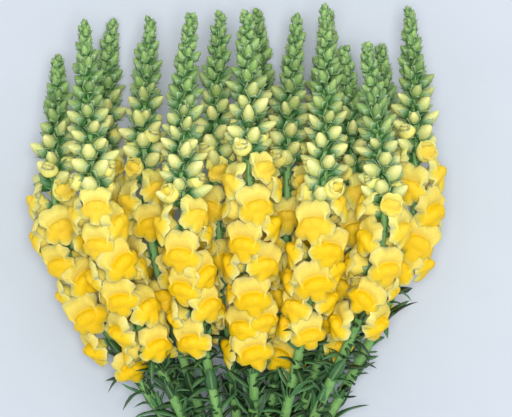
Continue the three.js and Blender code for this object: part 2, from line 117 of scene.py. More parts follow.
world = bpy.data.worlds.new("surrounding")
world.use_nodes = True
background = world.node_tree.nodes["Background"]
background.inputs["Color"].default_value = (0.95, 0.96, 1.0, 1)
background.inputs["Strength"].default_value = 0.74
bpy.context.scene.world = world
print("lamps:", [light.name for light in bpy.data.lights])

# %% [markdown]
# ## The growth rules
#
# The twine holds the stems side by side in a round neck. Above it they open into a fan of
# three rows on top of each other, and near the tips each one leans its own way. A stem is
# therefore one smooth path, given by where it is at each y.

# %% The fan of stems
CUT_LENGTH = 150.0
NECK_HALF = 6.0
OPEN_LENGTH = 330.0
LEAN_START = 230.0
ROW_HEIGHT = np.array([29.0, 78.0, 126.0])
SWAY = 2.5
SWAY_WAVES = (55.0, 48.0)
TAIL_SPREAD = 0.3
TAIL_RISE = 1.5
STEM_RADIUS = 4.0
SPIKE_RADIUS = 2.8
TAPER_LEAD = 20.0
NECK_GAP = 0.5
TWINE_RADIUS = 1.4
CLEAR = 0.35

# For each stem: its row, its place across the neck in stem widths, its x where the fan is open,
# the x and y of its tip, and the y of its first and last open flower.
STEMS = np.array([
    (1, -2.5, -158, -158, 428, 182, 342),
    (2, -2.0, -120, -130, 450, 188, 342),
    (0, -1.0, -122, -115, 460, 198, 364),
    (1, -1.5, -88, -80, 457, 202, 362),
    (2, -1.0, -57, -47, 456, 196, 334),
    (1, -0.5, -29, -28, 461, 212, 360),
    (2, 0.0, 0, -8, 457, 188, 368),
    (0, 0.0, 0, 2, 469, 206, 370),
    (1, 0.5, 27, 32, 458, 174, 360),
    (2, 1.0, 54, 51, 462, 202, 336),
    (0, 1.0, 56, 60, 466, 214, 364),
    (1, 1.5, 82, 67, 435, 202, 350),
    (2, 2.0, 103, 87, 434, 210, 326),
    (0, 2.0, 108, 100, 439, 226, 350),
    (1, 2.5, 131, 119, 464, 246, 364),
])
ROW = STEMS[:, 0].astype(int)
OPEN_X, TIP_X, TIP_Y, FIRST, LAST = STEMS[:, 2:].T
NECK_PITCH = 2 * STEM_RADIUS + NECK_GAP
STEM_FLAT = STEM_RADIUS * math.cos(math.pi / 6)
NECK_BOTTOM = 2 * TWINE_RADIUS + CLEAR + STEM_RADIUS
NECK_STEM_X = NECK_X + STEMS[:, 1] * NECK_PITCH
NECK_STEM_Z = NECK_BOTTOM + ROW * NECK_PITCH * math.sin(math.pi / 3)


# %% Seeded draws and small helpers
def seeded_draws(state):
    """Numbers from 0 to 1: the state becomes (1664525 state + 1013904223) modulo 2 to the 32."""
    while True:
        state = (1664525 * state + 1013904223) % 2**32
        yield state / 2**32


FAN_SEED = 20261
draws = seeded_draws(FAN_SEED)
SWAY_PHASE, STEM_TURN = np.array([(next(draws), next(draws)) for _ in STEMS]).T * 2 * math.pi


def lerp(a, b, t):
    """The value that lies the share t of the way from a to b."""
    return a + (b - a) * t


def smooth(t):
    """3 t^2 - 2 t^3, held at 0 below 0 and at 1 above 1."""
    t = np.clip(t, 0, 1)
    return t * t * (3 - 2 * t)


def unit(vectors):
    """Vectors divided by their length."""
    return vectors / np.linalg.norm(vectors, axis=-1, keepdims=True)


def layered(*parts):
    """Arrays stretched to one shape and laid side by side along a new last axis."""
    return np.stack(np.broadcast_arrays(*parts), -1)


# %% A stem's path
def axis_point(stem, y):
    """The middle of a stem at y: from its place in the neck to its place in the open fan by
    smooth(y), then towards its tip by a square, with a slow wave on top."""
    y = np.asarray(y, float)
    opened = smooth((y - NECK_HALF) / (OPEN_LENGTH - NECK_HALF))
    lean = np.maximum(0, (y - LEAN_START) / (TIP_Y[stem] - LEAN_START)) ** 2
    tail = np.clip((-y - NECK_HALF) / (CUT_LENGTH - NECK_HALF), 0, 1)
    neck_x = NECK_X + (NECK_STEM_X[stem] - NECK_X) * (1 + TAIL_SPREAD * tail)
    neck_z = NECK_STEM_Z[stem] + tail * (STEM_FLAT - NECK_BOTTOM + TAIL_RISE * ROW[stem])
    sway = SWAY * opened * np.sin(y / SWAY_WAVES[0] + SWAY_PHASE[stem])
    lift = SWAY * opened * np.cos(y / SWAY_WAVES[1] + SWAY_PHASE[stem])
    x = lerp(neck_x, OPEN_X[stem], opened) + (TIP_X[stem] - OPEN_X[stem]) * lean + sway
    z = lerp(neck_z, ROW_HEIGHT[ROW[stem]], opened) + lift
    return layered(x, y, z)


def axis_frame(stem, y):
    """Middle, direction to the tip, up and side of a stem at y, square to each other."""
    along = unit(axis_point(stem, np.asarray(y) + 1) - axis_point(stem, np.asarray(y) - 1))
    side = unit(np.cross(along, [0.0, 0.0, 1.0]))
    return axis_point(stem, y), along, np.cross(side, along), side


def stem_radius(stem, y):
    """The stem's radius below its buds: it tapers evenly past its first flower."""
    start = FIRST[stem] - TAPER_LEAD
    return lerp(STEM_RADIUS, SPIKE_RADIUS, np.clip((y - start) / (LAST[stem] - start), 0, 1))


print("stems:", len(STEMS), "- fan width in millimetres:", OPEN_X.max() - OPEN_X.min())

# %% [markdown]
# ## Where the flowers go
#
# Flowers follow each other up a stem at the golden angle, as leaves do, because each new one
# forms where the older ones leave most room. In a tied bunch they also press on one another:
# every face is treated as a ball that pushes its neighbours away, round after round, while the
# base of each flower stays where it grows.

# %% The flowers' places
GOLDEN_ANGLE = math.pi * (3 - math.sqrt(5))
BLOOM_STEP = 8.1
TURN_SCATTER = 0.8
BLOOM_REACH = 24.0
BLOOM_SIZE = (0.84, 0.96)
YOUNG_SIZE = 0.85
BLOOM_PITCH = (0.7, 0.12)
TURN_TO_LIGHT = 0.35
OPENS_AT = (0.08, 0.26)
CLOSED_WIDTH = 0.66
FACE_RADIUS = 13.0
SLEEVE_ROOM = 7.0
SLEEVE_ROOM_LEAD = 10.0
SPIKE_ROOM = (11.0, 3.0)
BARE_ROOM = 5.0
SURFACE_DIP = 1.0
SETTLE_ROUNDS = 90
SPRING = 0.05
YIELD = 0.6


def bloom_rows():
    """One row for each flower: stem, y, age from 0 to 1, turn round the stem and size."""
    rows = []
    for stem, (first, last) in enumerate(zip(FIRST, LAST)):
        count = round((last - first) / BLOOM_STEP)
        for k in range(count):
            age = 1 - (k + 0.5) / count
            turn = STEM_TURN[stem] + k * GOLDEN_ANGLE + TURN_SCATTER * (next(draws) - 0.5)
            size = lerp(*BLOOM_SIZE, next(draws)) * lerp(YOUNG_SIZE, 1, min(1, 3 * age))
            rows.append((stem, lerp(last, first, age), age, turn, size))
    return np.array(rows).T


# %% Flowers pushed apart
def room_round(stem, y):
    """The radius that a stem takes up at y, with its flower bases or its buds."""
    spike = lerp(*SPIKE_ROOM, np.clip((y - LAST[stem]) / (TIP_Y[stem] - LAST[stem]), 0, 1))
    lower = np.where(y > FIRST[stem] - SLEEVE_ROOM_LEAD, SLEEVE_ROOM, BARE_ROOM)
    return np.where(y > LAST[stem], spike, lower)


def settle(origin, natural, size, width, own):
    """The directions that the faces end up in. In each round a face moves by a spring back to its
    natural place, by half of each overlap with another face and by its overlap with other stems
    and with the table."""
    facing = natural
    radius = FACE_RADIUS * size * width
    others = np.arange(len(STEMS))
    for _ in range(SETTLE_ROUNDS):
        centre = origin + BLOOM_REACH * size[:, None] * facing
        push = SPRING * (origin + BLOOM_REACH * size[:, None] * natural - centre)
        apart = centre[:, None] - centre
        gap = np.linalg.norm(apart, axis=-1) + np.diag(np.full(len(own), np.inf))
        overlap = np.maximum(0, radius[:, None] + radius - gap)
        push += (apart * (0.5 * overlap / gap)[..., None]).sum(1)
        y = centre[:, 1, None]
        away = centre[:, None] - axis_point(others, y)
        gap = np.linalg.norm(away, axis=-1)
        overlap = np.maximum(0, radius[:, None] + room_round(others, y) - gap)
        overlap = np.where((others == own[:, None]) | (y > TIP_Y), 0, overlap)
        push += (away * (overlap / gap)[..., None]).sum(1)
        push[:, 2] += np.maximum(0, radius - SURFACE_DIP - centre[:, 2])
        facing = unit(centre + YIELD * push - origin)
    return facing


bloom_stem, bloom_y, bloom_age, bloom_turn, bloom_size = bloom_rows()
bloom_stem = bloom_stem.astype(int)
bloom_origin, bloom_along, stem_up, stem_side = axis_frame(bloom_stem, bloom_y)
bloom_pitch = lerp(*BLOOM_PITCH, np.clip(2 * bloom_age, 0, 1))
bloom_natural = (
    stem_up * (np.cos(bloom_turn) * np.cos(bloom_pitch))[:, None]
    + stem_side * (np.sin(bloom_turn) * np.cos(bloom_pitch))[:, None]
    + bloom_along * np.sin(bloom_pitch)[:, None]
)
bloom_opened = np.clip((bloom_age - OPENS_AT[0]) / (OPENS_AT[1] - OPENS_AT[0]), 0, 1)
bloom_natural = unit(bloom_natural + TURN_TO_LIGHT * bloom_opened[:, None] * [0, 0, 1])
bloom_width = lerp(CLOSED_WIDTH, 1, bloom_opened)
bloom_facing = settle(bloom_origin, bloom_natural, bloom_size, bloom_width, bloom_stem)
bloom_up = unit(bloom_along - bloom_facing * (bloom_along * bloom_facing).sum(-1, keepdims=True))
bloom_side = np.cross(bloom_facing, bloom_up)
print("open flowers:", len(bloom_y))

# %% [markdown]
# ## Closed skins
#
# A stem, a bud, a leaf and a whole flower are all the same kind of thing to a modeller: rings
# of points between two poles. So one function finds the faces for any of them, and one more
# puts many such skins into a single mesh. Doing this with whole arrays is far quicker than
# adding one flower at a time.


# %% From grids to meshes
def ring_faces(rings, sides):
    """Corners of the faces between two poles and the rings of points between them. Point 0 is the
    first pole; each ring runs anticlockwise as seen from the last pole."""
    ring = np.arange(sides)
    after = (ring + 1) % sides
    rows = 1 + sides * np.arange(rings - 1)[:, None]
    quads = np.stack([rows + ring, rows + after, rows + sides + after, rows + sides + ring], -1)
    top = 1 + sides * (rings - 1)
    first = np.stack([0 * ring, 1 + after, 1 + ring], -1)
    last = np.stack([top + ring, top + after, 0 * ring + rings * sides + 1], -1)
    return quads.reshape(-1, 4), np.concatenate([first, last])


def closed_skins(points, marks, material=0):
    """Skins from grids: points is copies x rows x sides x 3, and marks the same with 4 numbers a
    point. The first and last row of each copy are its poles."""
    copies, rows, sides, _ = points.shape
    both = np.concatenate([points, np.broadcast_to(marks, points.shape[:3] + (4,))], -1)
    middle = both[:, 1:-1].reshape(copies, -1, 7)
    flat = np.concatenate([both[:, 0, :1], middle, both[:, -1, :1]], 1)
    quads, triangles = ring_faces(rows - 2, sides)
    offset = flat.shape[1] * np.arange(copies)[:, None, None]
    return {
        "points": flat[..., :3].reshape(-1, 3),
        "marks": flat[..., 3:].reshape(-1, 4),
        "quads": (quads + offset).reshape(-1, 4),
        "triangles": (triangles + offset).reshape(-1, 3),
        "material": material,
    }


# %% One mesh of many skins
def make_piece(name, skins, materials):
    """One mesh object of several skins, in metres in the frame, with the marks as an attribute."""
    starts = np.cumsum([0] + [len(skin["points"]) for skin in skins])
    points = (np.concatenate([skin["points"] for skin in skins]) + SHIFT) * MM
    marks = np.concatenate([skin["marks"] for skin in skins])
    faces = [
        (skin[kind] + start, skin["material"])
        for start, skin in zip(starts, skins)
        for kind in ("quads", "triangles")
    ]
    corners = np.concatenate([face.ravel() for face, _ in faces])
    sizes = np.concatenate([np.full(len(face), face.shape[1]) for face, _ in faces])
    slots = np.concatenate([np.full(len(face), slot) for face, slot in faces])
    mesh = bpy.data.meshes.new(name)
    mesh.vertices.add(len(points))
    mesh.vertices.foreach_set("co", points.astype(np.float32).ravel())
    mesh.loops.add(len(corners))
    mesh.loops.foreach_set("vertex_index", corners.astype(np.int32))
    mesh.polygons.add(len(sizes))
    mesh.polygons.foreach_set("loop_start", (np.cumsum(sizes) - sizes).astype(np.int32))
    mesh.polygons.foreach_set("material_index", slots.astype(np.int32))
    for material in materials:
        mesh.materials.append(material)
    mesh.update(calc_edges=True)
    mesh.shade_smooth()
    attribute = mesh.attributes.new("marks", "FLOAT_COLOR", "POINT")
    attribute.data.foreach_set("color", marks.astype(np.float32).ravel())
    return add_object(name, mesh)


# %% Skins in their place
def round_angles(sides):
    """Even angles once round a section, from 0 up to but without a full turn."""
    return np.linspace(0, 2 * math.pi, sides, endpoint=False)


def per_copy(*values):
    """Arrays with one number a copy, shaped to go with grids of copies x rows x sides."""
    return (value[:, None, None] for value in values)


FREE_OF_TABLE = 20.0  # from this height on a point feels nothing of the table
SOFTNESS, THIN_SOFTNESS = 1.2, 0.2  # over how much height loose and thin parts give way to it


def above_table(points, softness=SOFTNESS):
    """Points pressed up onto the table: z becomes softness log(1 + exp(z / softness))."""
    z = points[..., 2]
    low = softness * np.log1p(np.exp(np.minimum(z, FREE_OF_TABLE) / softness))
    points[..., 2] = np.where(z < FREE_OF_TABLE, low, z)
    return points


def placed_skins(frames, out, height, across, marks, material=0):
    """Skins of origin + out along + height up + across side, on grids of copies x rows x sides."""
    origin, along, up, side = (vector[:, None, None] for vector in frames)
    points = origin + out[..., None] * along + height[..., None] * up + across[..., None] * side
    return closed_skins(above_table(points), marks, material)


def swept_skin(path, up, side, radius, angle, marks):
    """Rings round a path: path + radius cos(angle) up + radius sin(angle) side."""
    height, across = radius * np.cos(angle), radius * np.sin(angle)
    points = path[:, None] + height[..., None] * up[:, None] + across[..., None] * side[:, None]
    return closed_skins(above_table(points[None], THIN_SOFTNESS), marks[None])


# %% [markdown]
# ## Finishes
#
# Colours are written as they look on a screen and turned into light values by one function.
# Every finish shares two effects, so each is a node group: a soft mottle, which keeps any
# plant colour from being flat, and fine lines that run with the growth of the part.

# %% Node helpers
def colour(code):
    """Light values of a screen colour: ((c + 0.055) / 1.055) to the 2.4 for each part c."""
    parts = [int(code[k : k + 2], 16) / 255 for k in (0, 2, 4)]
    return (*(c / 12.92 if c < 0.04 else ((c + 0.055) / 1.055) ** 2.4 for c in parts), 1.0)


def node(tree, kind, inputs=(), **settings):
    """A new node with its settings, and its inputs set to values or joined to other outputs."""
    made = tree.nodes.new(kind)
    for key, value in settings.items():
        setattr(made, key, value)
    for key, value in dict(inputs).items():
        if isinstance(value, bpy.types.NodeSocket):
            tree.links.new(value, made.inputs[key])
        else:
            made.inputs[key].default_value = value
    return made


def maths(tree, operation, *values, clamp=False):
    """The output of a Math node."""
    made = node(tree, "ShaderNodeMath", enumerate(values), operation=operation, use_clamp=clamp)
    return made.outputs[0]


def ranged(tree, value, **ends):
    """A value moved evenly from between two ends to between two others: 0 and 1 if not given."""
    inputs = {0: value, **{key.replace("_", " "): end for key, end in ends.items()}}
    return node(tree, "ShaderNodeMapRange", inputs).outputs[0]


def mixed(tree, share, a, b, most=1.0, blend="MIX"):
    """The output of a colour mix: a at share 0 and b at share 1, or only most of b."""
    if most < 1:
        share = maths(tree, "MULTIPLY", share, most)
    inputs = {0: share, 6: a, 7: b}
    made = node(tree, "ShaderNodeMix", inputs, data_type="RGBA", blend_type=blend)
    return made.outputs[2]


def shaded(tree, tint, shade):
    """A colour with its red, green and blue each multiplied by those of a shade."""
    return mixed(tree, 1.0, tint, (*shade, 1), blend="MULTIPLY")


def new_group(name, inputs, outputs):
    """An empty node group and the values that come in. A socket's default tells its kind: four
    numbers for a colour, one for a value."""
    group = bpy.data.node_groups.new(name, "ShaderNodeTree")
    for way, sockets in (("INPUT", inputs), ("OUTPUT", outputs)):
        for label, default in sockets.items():
            kind = "NodeSocketColor" if isinstance(default, tuple) else "NodeSocketFloat"
            socket = group.interface.new_socket(label, in_out=way, socket_type=kind)
            socket.default_value = default
    start = node(group, "NodeGroupInput")
    return group, [start.outputs[label] for label in inputs]


# %% Shared effects
WHITE, BLACK = (1, 1, 1, 1), (0, 0, 0, 1)
FINER = 7.0  # how many times finer the mottle's second noise is
MOTTLE_ENDS = (0.7, 1.3)  # the sums of both noises that give the light and the dark colour
WANDER_SCALE = 160.0  # how many times a metre the growth lines wander


def make_mottle():
    """Two colours mixed by two sizes of noise, and that mixture as a value."""
    group, (light, dark, scale) = new_group(
        "mottle", {"Light": WHITE, "Dark": BLACK, "Scale": 60.0}, {"Color": WHITE, "Value": 0.0}
    )
    place = node(group, "ShaderNodeTexCoord").outputs["Object"]
    broad = node(group, "ShaderNodeTexNoise", {"Vector": place, "Scale": scale})
    finer = maths(group, "MULTIPLY", scale, FINER)
    fine = node(group, "ShaderNodeTexNoise", {"Vector": place, "Scale": finer, "Detail": 4.0})
    total = maths(group, "ADD", broad.outputs[0], fine.outputs[0])
    share = ranged(group, total, From_Min=MOTTLE_ENDS[0], From_Max=MOTTLE_ENDS[1])
    node(group, "NodeGroupOutput", {"Color": mixed(group, share, light, dark), "Value": share})
    return group


def make_growth_lines():
    """Lines across an angle-like value: (0.5 + 0.5 sin(count value + wander)) to a power."""
    inputs = {"Across": 0.0, "Count": 30.0, "Wander": 2.0, "Sharpness": 3.0}
    group, (across, count, wander, sharpness) = new_group("growth_lines", inputs, {"Value": 0.0})
    place = node(group, "ShaderNodeTexCoord").outputs["Object"]
    noise_inputs = {"Vector": place, "Scale": WANDER_SCALE, "Detail": 2.0}
    noise = node(group, "ShaderNodeTexNoise", noise_inputs).outputs[0]
    turned = maths(group, "MULTIPLY", across, count)
    shifted = maths(group, "MULTIPLY", noise, wander)
    wave = maths(group, "SINE", maths(group, "ADD", turned, shifted))
    raised = maths(group, "MULTIPLY_ADD", wave, 0.5, 0.5)
    node(group, "NodeGroupOutput", {"Value": maths(group, "POWER", raised, sharpness)})
    return group


MOTTLE = make_mottle()
GROWTH_LINES = make_growth_lines()
print("node groups:", MOTTLE.name, GROWTH_LINES.name)


# %% What every finish uses
def mottled(tree, light, dark, scale):
    """The mottle's colour and value in a material."""
    inputs = {"Light": light, "Dark": dark, "Scale": scale}
    return node(tree, "ShaderNodeGroup", inputs, node_tree=MOTTLE).outputs[:2]


def grown_lines(tree, across, count, wander, sharpness):
    """The growth lines' value in a material."""
    inputs = {"Across": across, "Count": count, "Wander": wander, "Sharpness": sharpness}
    return node(tree, "ShaderNodeGroup", inputs, node_tree=GROWTH_LINES).outputs[0]


def new_material(name, roughness, **constants):
    """A material with its tree and its shader, whose other constants are given by name."""
    material = bpy.data.materials.new(name)
    material.use_nodes = True
    tree = material.node_tree
    shader = tree.nodes["Principled BSDF"]
    shader.inputs["Roughness"].default_value = roughness
    for key, value in constants.items():
        shader.inputs[key.replace("_", " ")].default_value = value
    return material, tree, shader


def surface_marks(tree):
    """The four marks of a surface as values in a material."""
    marks = node(tree, "ShaderNodeAttribute", attribute_name="marks").outputs
    parts = node(tree, "ShaderNodeSeparateColor", {0: marks["Color"]}).outputs
    return [*parts, marks["Alpha"]]


def dress(tree, shader, tint, height, strength, depth):
    """Colour and relief on a shader, where depth is what a height of 1 stands for in metres."""
    bump = node(tree, "ShaderNodeBump", {"Height": height, "Strength": strength, "Distance": depth})
    tree.links.new(tint, shader.inputs["Base Color"])
    tree.links.new(bump.outputs[0], shader.inputs["Normal"])


# %% [markdown]
# ## Petals
#
# A snapdragon petal is pale lemon on the upper lip, clear yellow on the lower one and deep
# golden on the palate, the swelling that closes the mouth. Its rims are paler, partly their own
# colour and partly a painted highlight of light through the thin edges. Its tube is golden to
# green, partly its own colour and partly painted light that lifts the shade on the tube and the
# backs of the lobes. Young flowers are still greenish. The surface carries four marks: how golden
# it is, how near the rim, how much of a tube, and how pale. The finish mixes the colours by them
# and adds veins that fan out with the petal. Light passes through a petal, so some of it scatters
# below the surface.

# %% Petal finish
GOLDEN = colour("E6C006")
YELLOW = colour("E4C73C")
LEMON = colour("DAC85E")
# Rim colour: partly the rims' own pale cream, partly a painted highlight of light shining through
# the thin edges
RIM_CREAM_AND_HIGHLIGHT = colour("E0D696")
# Tube colour: partly the tube's own golden tint, partly painted light that lifts the shade on the
# tube and the backs of the lobes
TUBE_GOLD_AND_PAINTED_LIGHT = colour("FAE670")
GREENISH = colour("E2E28A")
VEIN_SHADE = (0.96, 0.92, 0.72)
PETAL_SHADE = (0.98, 0.94, 0.8)
PETAL_SCATTER = (1.0, 0.9, 0.5)  # how far red, green and blue spread, as shares of the scale


def make_petal_finish():
    """Marks are gold, rim, tube and pale; the attribute 'petal' holds vein angle and youth."""
    material, tree, shader = new_material(
        "petal",
        0.5,
        Subsurface_Weight=0.8,
        Subsurface_Scale=0.0012,
        Subsurface_Radius=PETAL_SCATTER,
        Specular_IOR_Level=0.2,
    )
    gold, rim, tube, pale = surface_marks(tree)
    more = node(tree, "ShaderNodeAttribute", attribute_name="petal").outputs["Vector"]
    sine, cosine, youth = node(tree, "ShaderNodeSeparateXYZ", {0: more}).outputs
    angle = maths(tree, "ARCTAN2", sine, cosine)
    veins = grown_lines(tree, angle, count=34.0, wander=4.0, sharpness=2.5)
    tint = mixed(tree, pale, YELLOW, LEMON)
    # Paler rims: partly their own colour, partly a painted highlight of light through the thin
    # edges
    tint = mixed(tree, rim, tint, RIM_CREAM_AND_HIGHLIGHT, most=0.75)
    tint = mixed(tree, gold, tint, GOLDEN)
    # Painted light on the shaded tube and lobe backs, over their own golden to green colour
    tint = mixed(tree, tube, tint, TUBE_GOLD_AND_PAINTED_LIGHT, most=0.8)
    tint = mixed(tree, youth, tint, GREENISH)
    tint = mixed(tree, veins, tint, shaded(tree, tint, VEIN_SHADE), most=0.35)
    tint, value = mottled(tree, tint, shaded(tree, tint, PETAL_SHADE), scale=90.0)
    rough = ranged(tree, value, To_Min=0.42, To_Max=0.6)
    tree.links.new(rough, shader.inputs["Roughness"])
    height = maths(tree, "MULTIPLY_ADD", value, 0.4, veins)
    dress(tree, shader, tint, height, strength=0.35, depth=0.0003)
    return material


PETAL = make_petal_finish()
print("finish:", PETAL.name)

# %% [markdown]
# ## One flower
#
# The whole corolla is one closed skin. Its rows start at the base, run up the outside of the
# tube, out along the backs of the lobes, over the rim, back in along their faces to the groove
# round the palate, and up to the top of the palate. Its columns go round the flower. A polar
# outline with five lobes gives the rim, so the same function makes every flower; random phases
# give each its own ruffles. A young flower is closed: its lobes lie folded over the throat and
# swell like a balloon.

# %% The corolla's sizes
SIDES = 34
TUBE_ROWS = np.array([0.0, 0.02, 0.25, 0.6, 1.0])
BACK_ROWS = np.array([0.14, 0.3, 0.5, 0.72, 0.9, 1.0])
FACE_ROWS = np.array([1.0, 0.93, 0.82, 0.68, 0.52, 0.36, 0.2, 0.08])
PALATE_ROWS = np.array([0.0, 0.06, 0.15, 0.28, 0.45, 0.7, 1.0])
ALL_ROWS = (TUBE_ROWS, BACK_ROWS, FACE_ROWS, PALATE_ROWS)
TUBE, BACK, FACE, PALATE = range(4)
ROW_SHARE = np.concatenate(ALL_ROWS)[:, None]
ROW_PART = np.repeat(range(4), [len(rows) for rows in ALL_ROWS])[:, None]
TURN = (round_angles(SIDES) + math.pi) % (2 * math.pi) - math.pi  # 0 points up the stem
COSINE, SINE = np.cos(TURN), np.sin(TURN)
UPPER = smooth((COSINE - 0.02) / 0.3)  # 1 on the upper lip and 0 on the lower one

LOBES = (  # middle, half width and reach of each lobe on one side: upper, side and middle
    (math.radians(32), math.radians(44), 20.5),
    (math.radians(116), math.radians(37), 17.5),
    (math.radians(180), math.radians(33), 18.5),
)
CORNER = 10.5  # distance from the flower's axis to the corners of the mouth
LOBE_POWER, THROAT_POWER = 0.55, 0.6  # below 1, for outlines that are fuller than a circle
LOBE_DROOP = 2.2  # how far the sides of a lobe fall back at its rim
LOBE_BULGE = (1.0, 4.0)  # of the lower and the upper lip
PETAL_THICKNESS = 0.7
# Ovals round the axis of the flower: half height, half width, and how far below the axis.
MOUTH = (8.0, 8.5, 1.5)  # where the tube opens into the lobes
THROAT = (5.8, 9.6, 1.0)  # the groove round the palate
CLOSED_RIM = (0.5, 0.6, 3.0)  # where the lobes of a closed flower meet
CLOSED_THROAT = (0.75, 0.78)  # height and width of a closed flower's throat, as shares
CLOSED_FACE = 0.9  # how far in a closed flower's faces lie, so that they stay within its backs
TUBE_RADIUS = 2.2
TUBE_WIDER = 0.06
BACK_MERGE = 0.5  # share of a lobe's back by which it has left the mouth and follows the face
# Distances from the stem along the flower's axis. Pairs are at the lower and the upper lip.
BASE_OUT, MOUTH_OUT = 6.0, 13.0
CLOSED_THROAT_OUT, THROAT_OUT = 15.0, (23.5, 18.5)
CLOSED_RIM_OUT, RIM_OUT = (25.0, 26.5), (15.5, 19.5)
PALATE_OUT, PALATE_HEIGHT = (25.8, 28.5), (-3.0, 1.2)  # of a closed and of an open flower
CLEFT_DEPTH, CLEFT_WIDTH, CLEFT_BELOW = 1.7, 1.9, 0.35  # the palate's cleft is shallower below
PUFF = 4.0  # how far a closed flower swells like a balloon

# What differs from flower to flower
GROWTH_SEED = 11
growth = np.random.default_rng(GROWTH_SEED)
RUFFLE, CURL = (1.2, 2.6), (0.3, 2.4)
CURL_START = 0.6  # share of the way to the rim
RUFFLE_WAVES = ((6, 0.7), (10, 0.6), (14, 0.4))  # turns round the rim and share of the ruffle
REACH_WAVES = ((3, 0.04), (12, 0.03))  # turns round the rim and share of its reach
SIZE_SCATTER = (0.94, 1.08)
ROLL = 0.4

# Where the marks begin and end. Shares s of the lobes are from the throat to the rim.
GOLD_END, GOLD_FADE = 1.05, 0.5
TUBE_END, TUBE_FADE = 0.7, 0.6
RIM_START = 0.72
PALENESS = (0.45, 1.0)  # of the lower and the upper lip
YOUTH, YOUTH_END, YOUTH_SCATTER = (0.9, 0.0), 0.5, (-0.1, 0.14)
YOUNG_GOLD = 0.8
GREEN_PALATE, GREEN_BASE = 0.3, 0.25
print("a flower has", len(ROW_SHARE), "rows of", SIDES, "points")


# %% The outline of the rim
def lobe_outline(angle):
    """Reach of the rim and how far across its lobe each angle lies. The reach is CORNER plus the
    largest of the lobes' (reach - CORNER) (1 - x^2)^0.55, where x runs from -1 to 1 across one."""
    folded = np.abs(angle)
    reach = np.full(folded.shape, CORNER)
    across = np.ones(folded.shape)
    for middle, half, tip in LOBES:
        x = np.abs(folded - middle) / half
        here = CORNER + (tip - CORNER) * np.maximum(0, 1 - x * x) ** LOBE_POWER
        across = np.where(here > reach, x, across)
        reach = np.maximum(here, reach)
    return reach, across


# %% The corolla's surface
def corolla(size, opened):
    """Grids out, height and across of each flower. From throat to rim a lobe goes evenly with s,
    plus a bulge of 4 s (1 - s), less the droop of its sides and the curl of its rim by squares,
    and its ruffles grow by s^2.2. The tube widens by s^0.8 of its length."""
    count = len(size)
    phases = growth.uniform(0, 2 * math.pi, (count, 5))
    ruffle_size = growth.uniform(*RUFFLE, (count, 1))
    curl = growth.uniform(*CURL, (count, 1))
    opened = smooth(opened)[:, None]

    def waves(kinds, first):
        """The sum of height sin(turns angle + phase) over some kinds of wave."""
        numbered = enumerate(kinds, first)
        return sum(high * np.sin(n * TURN + phases[:, k, None]) for k, (n, high) in numbered)

    def oval(high, wide, drop, upright=COSINE):
        """Height and across of an oval round the flower's axis."""
        return [(high * upright - drop)[None], (wide * SINE)[None]]

    reach, across_lobe = lobe_outline(TURN)
    reach = reach * (1 + waves(REACH_WAVES, len(RUFFLE_WAVES)))
    ruffle = (ruffle_size * waves(RUFFLE_WAVES, 0) * opened)[:, None]
    droop = (LOBE_DROOP * across_lobe**2 * opened)[:, None]
    curl = (curl * opened)[:, None]
    bulge = (lerp(*LOBE_BULGE, UPPER) * opened)[:, None]
    throat_out = lerp(CLOSED_THROAT_OUT, lerp(*THROAT_OUT, UPPER), opened)[:, None]
    rim_out = lerp(lerp(*CLOSED_RIM_OUT, UPPER), lerp(*RIM_OUT, UPPER), opened)[:, None]
    fuller = np.sign(COSINE) * np.abs(COSINE) ** THROAT_POWER
    mouth, throat, closed_rim = oval(*MOUTH), oval(*THROAT, fuller), oval(*CLOSED_RIM)
    throat = [part * lerp(share, 1, opened) for part, share in zip(throat, CLOSED_THROAT)]
    rim = [lerp(part, reach * turn, opened) for part, turn in zip(closed_rim, (COSINE, SINE))]

    def face_out(s):
        """How far out the faces of the lobes lie at the share s from the throat to the rim."""
        curled = curl * np.maximum(0, (s - CURL_START) / (1 - CURL_START)) ** 2
        level = lerp(throat_out, rim_out, s) + bulge * 4 * s * (1 - s)
        return level - droop * s**2 - curled + ruffle * s**2.2

    def between(inner, outer, s):
        """Height and across from inner to outer at the share s, swollen if the flower is closed."""
        puff = 4 * s * (1 - s) * (PUFF * (1 - opened))[:, None]
        ends = zip(inner, outer, (COSINE, SINE))
        return [lerp(a[:, None], b[:, None], s) + puff * turn for a, b, turn in ends]

    s = TUBE_ROWS[:, None]
    radius = lerp(TUBE_RADIUS, MOUTH[0], s**0.8) * (s > 0)
    across = radius * (1 + TUBE_WIDER * s) * SINE
    tube = [lerp(BASE_OUT, MOUTH_OUT, s), radius * COSINE - MOUTH[2] * s**2, across]
    tube = [np.broadcast_to(part, (count, len(s), SIDES)) for part in tube]
    s = BACK_ROWS[:, None]
    merge = smooth(s / BACK_MERGE)
    back = [lerp(MOUTH_OUT, face_out(s) - PETAL_THICKNESS, merge)]
    back += [lerp(a, b, merge) for a, b in zip(between(mouth, rim, s), between(throat, rim, s))]
    s = FACE_ROWS[:, None]
    within = lerp(CLOSED_FACE, 1, opened)[:, None]
    face = [face_out(s), *(part * within for part in between(throat, rim, s))]
    s = PALATE_ROWS[:, None]
    top_height, top_out = (lerp(*ends, opened)[:, None] for ends in (PALATE_HEIGHT, PALATE_OUT))
    across = lerp(throat[1][:, None], 0, s)
    dome = lerp(s * (2 - s), np.sqrt(1 - (1 - s) ** 2), UPPER)
    cleft = CLEFT_DEPTH * np.exp(-((across / CLEFT_WIDTH) ** 2)) * lerp(CLEFT_BELOW, 1, UPPER)
    palate = [lerp(throat_out, top_out, dome) - cleft * dome]
    palate += [lerp(throat[0][:, None], top_height, s), across]
    (scale,) = per_copy(size)
    return [np.concatenate(parts, 1) * scale for parts in zip(tube, back, face, palate)]


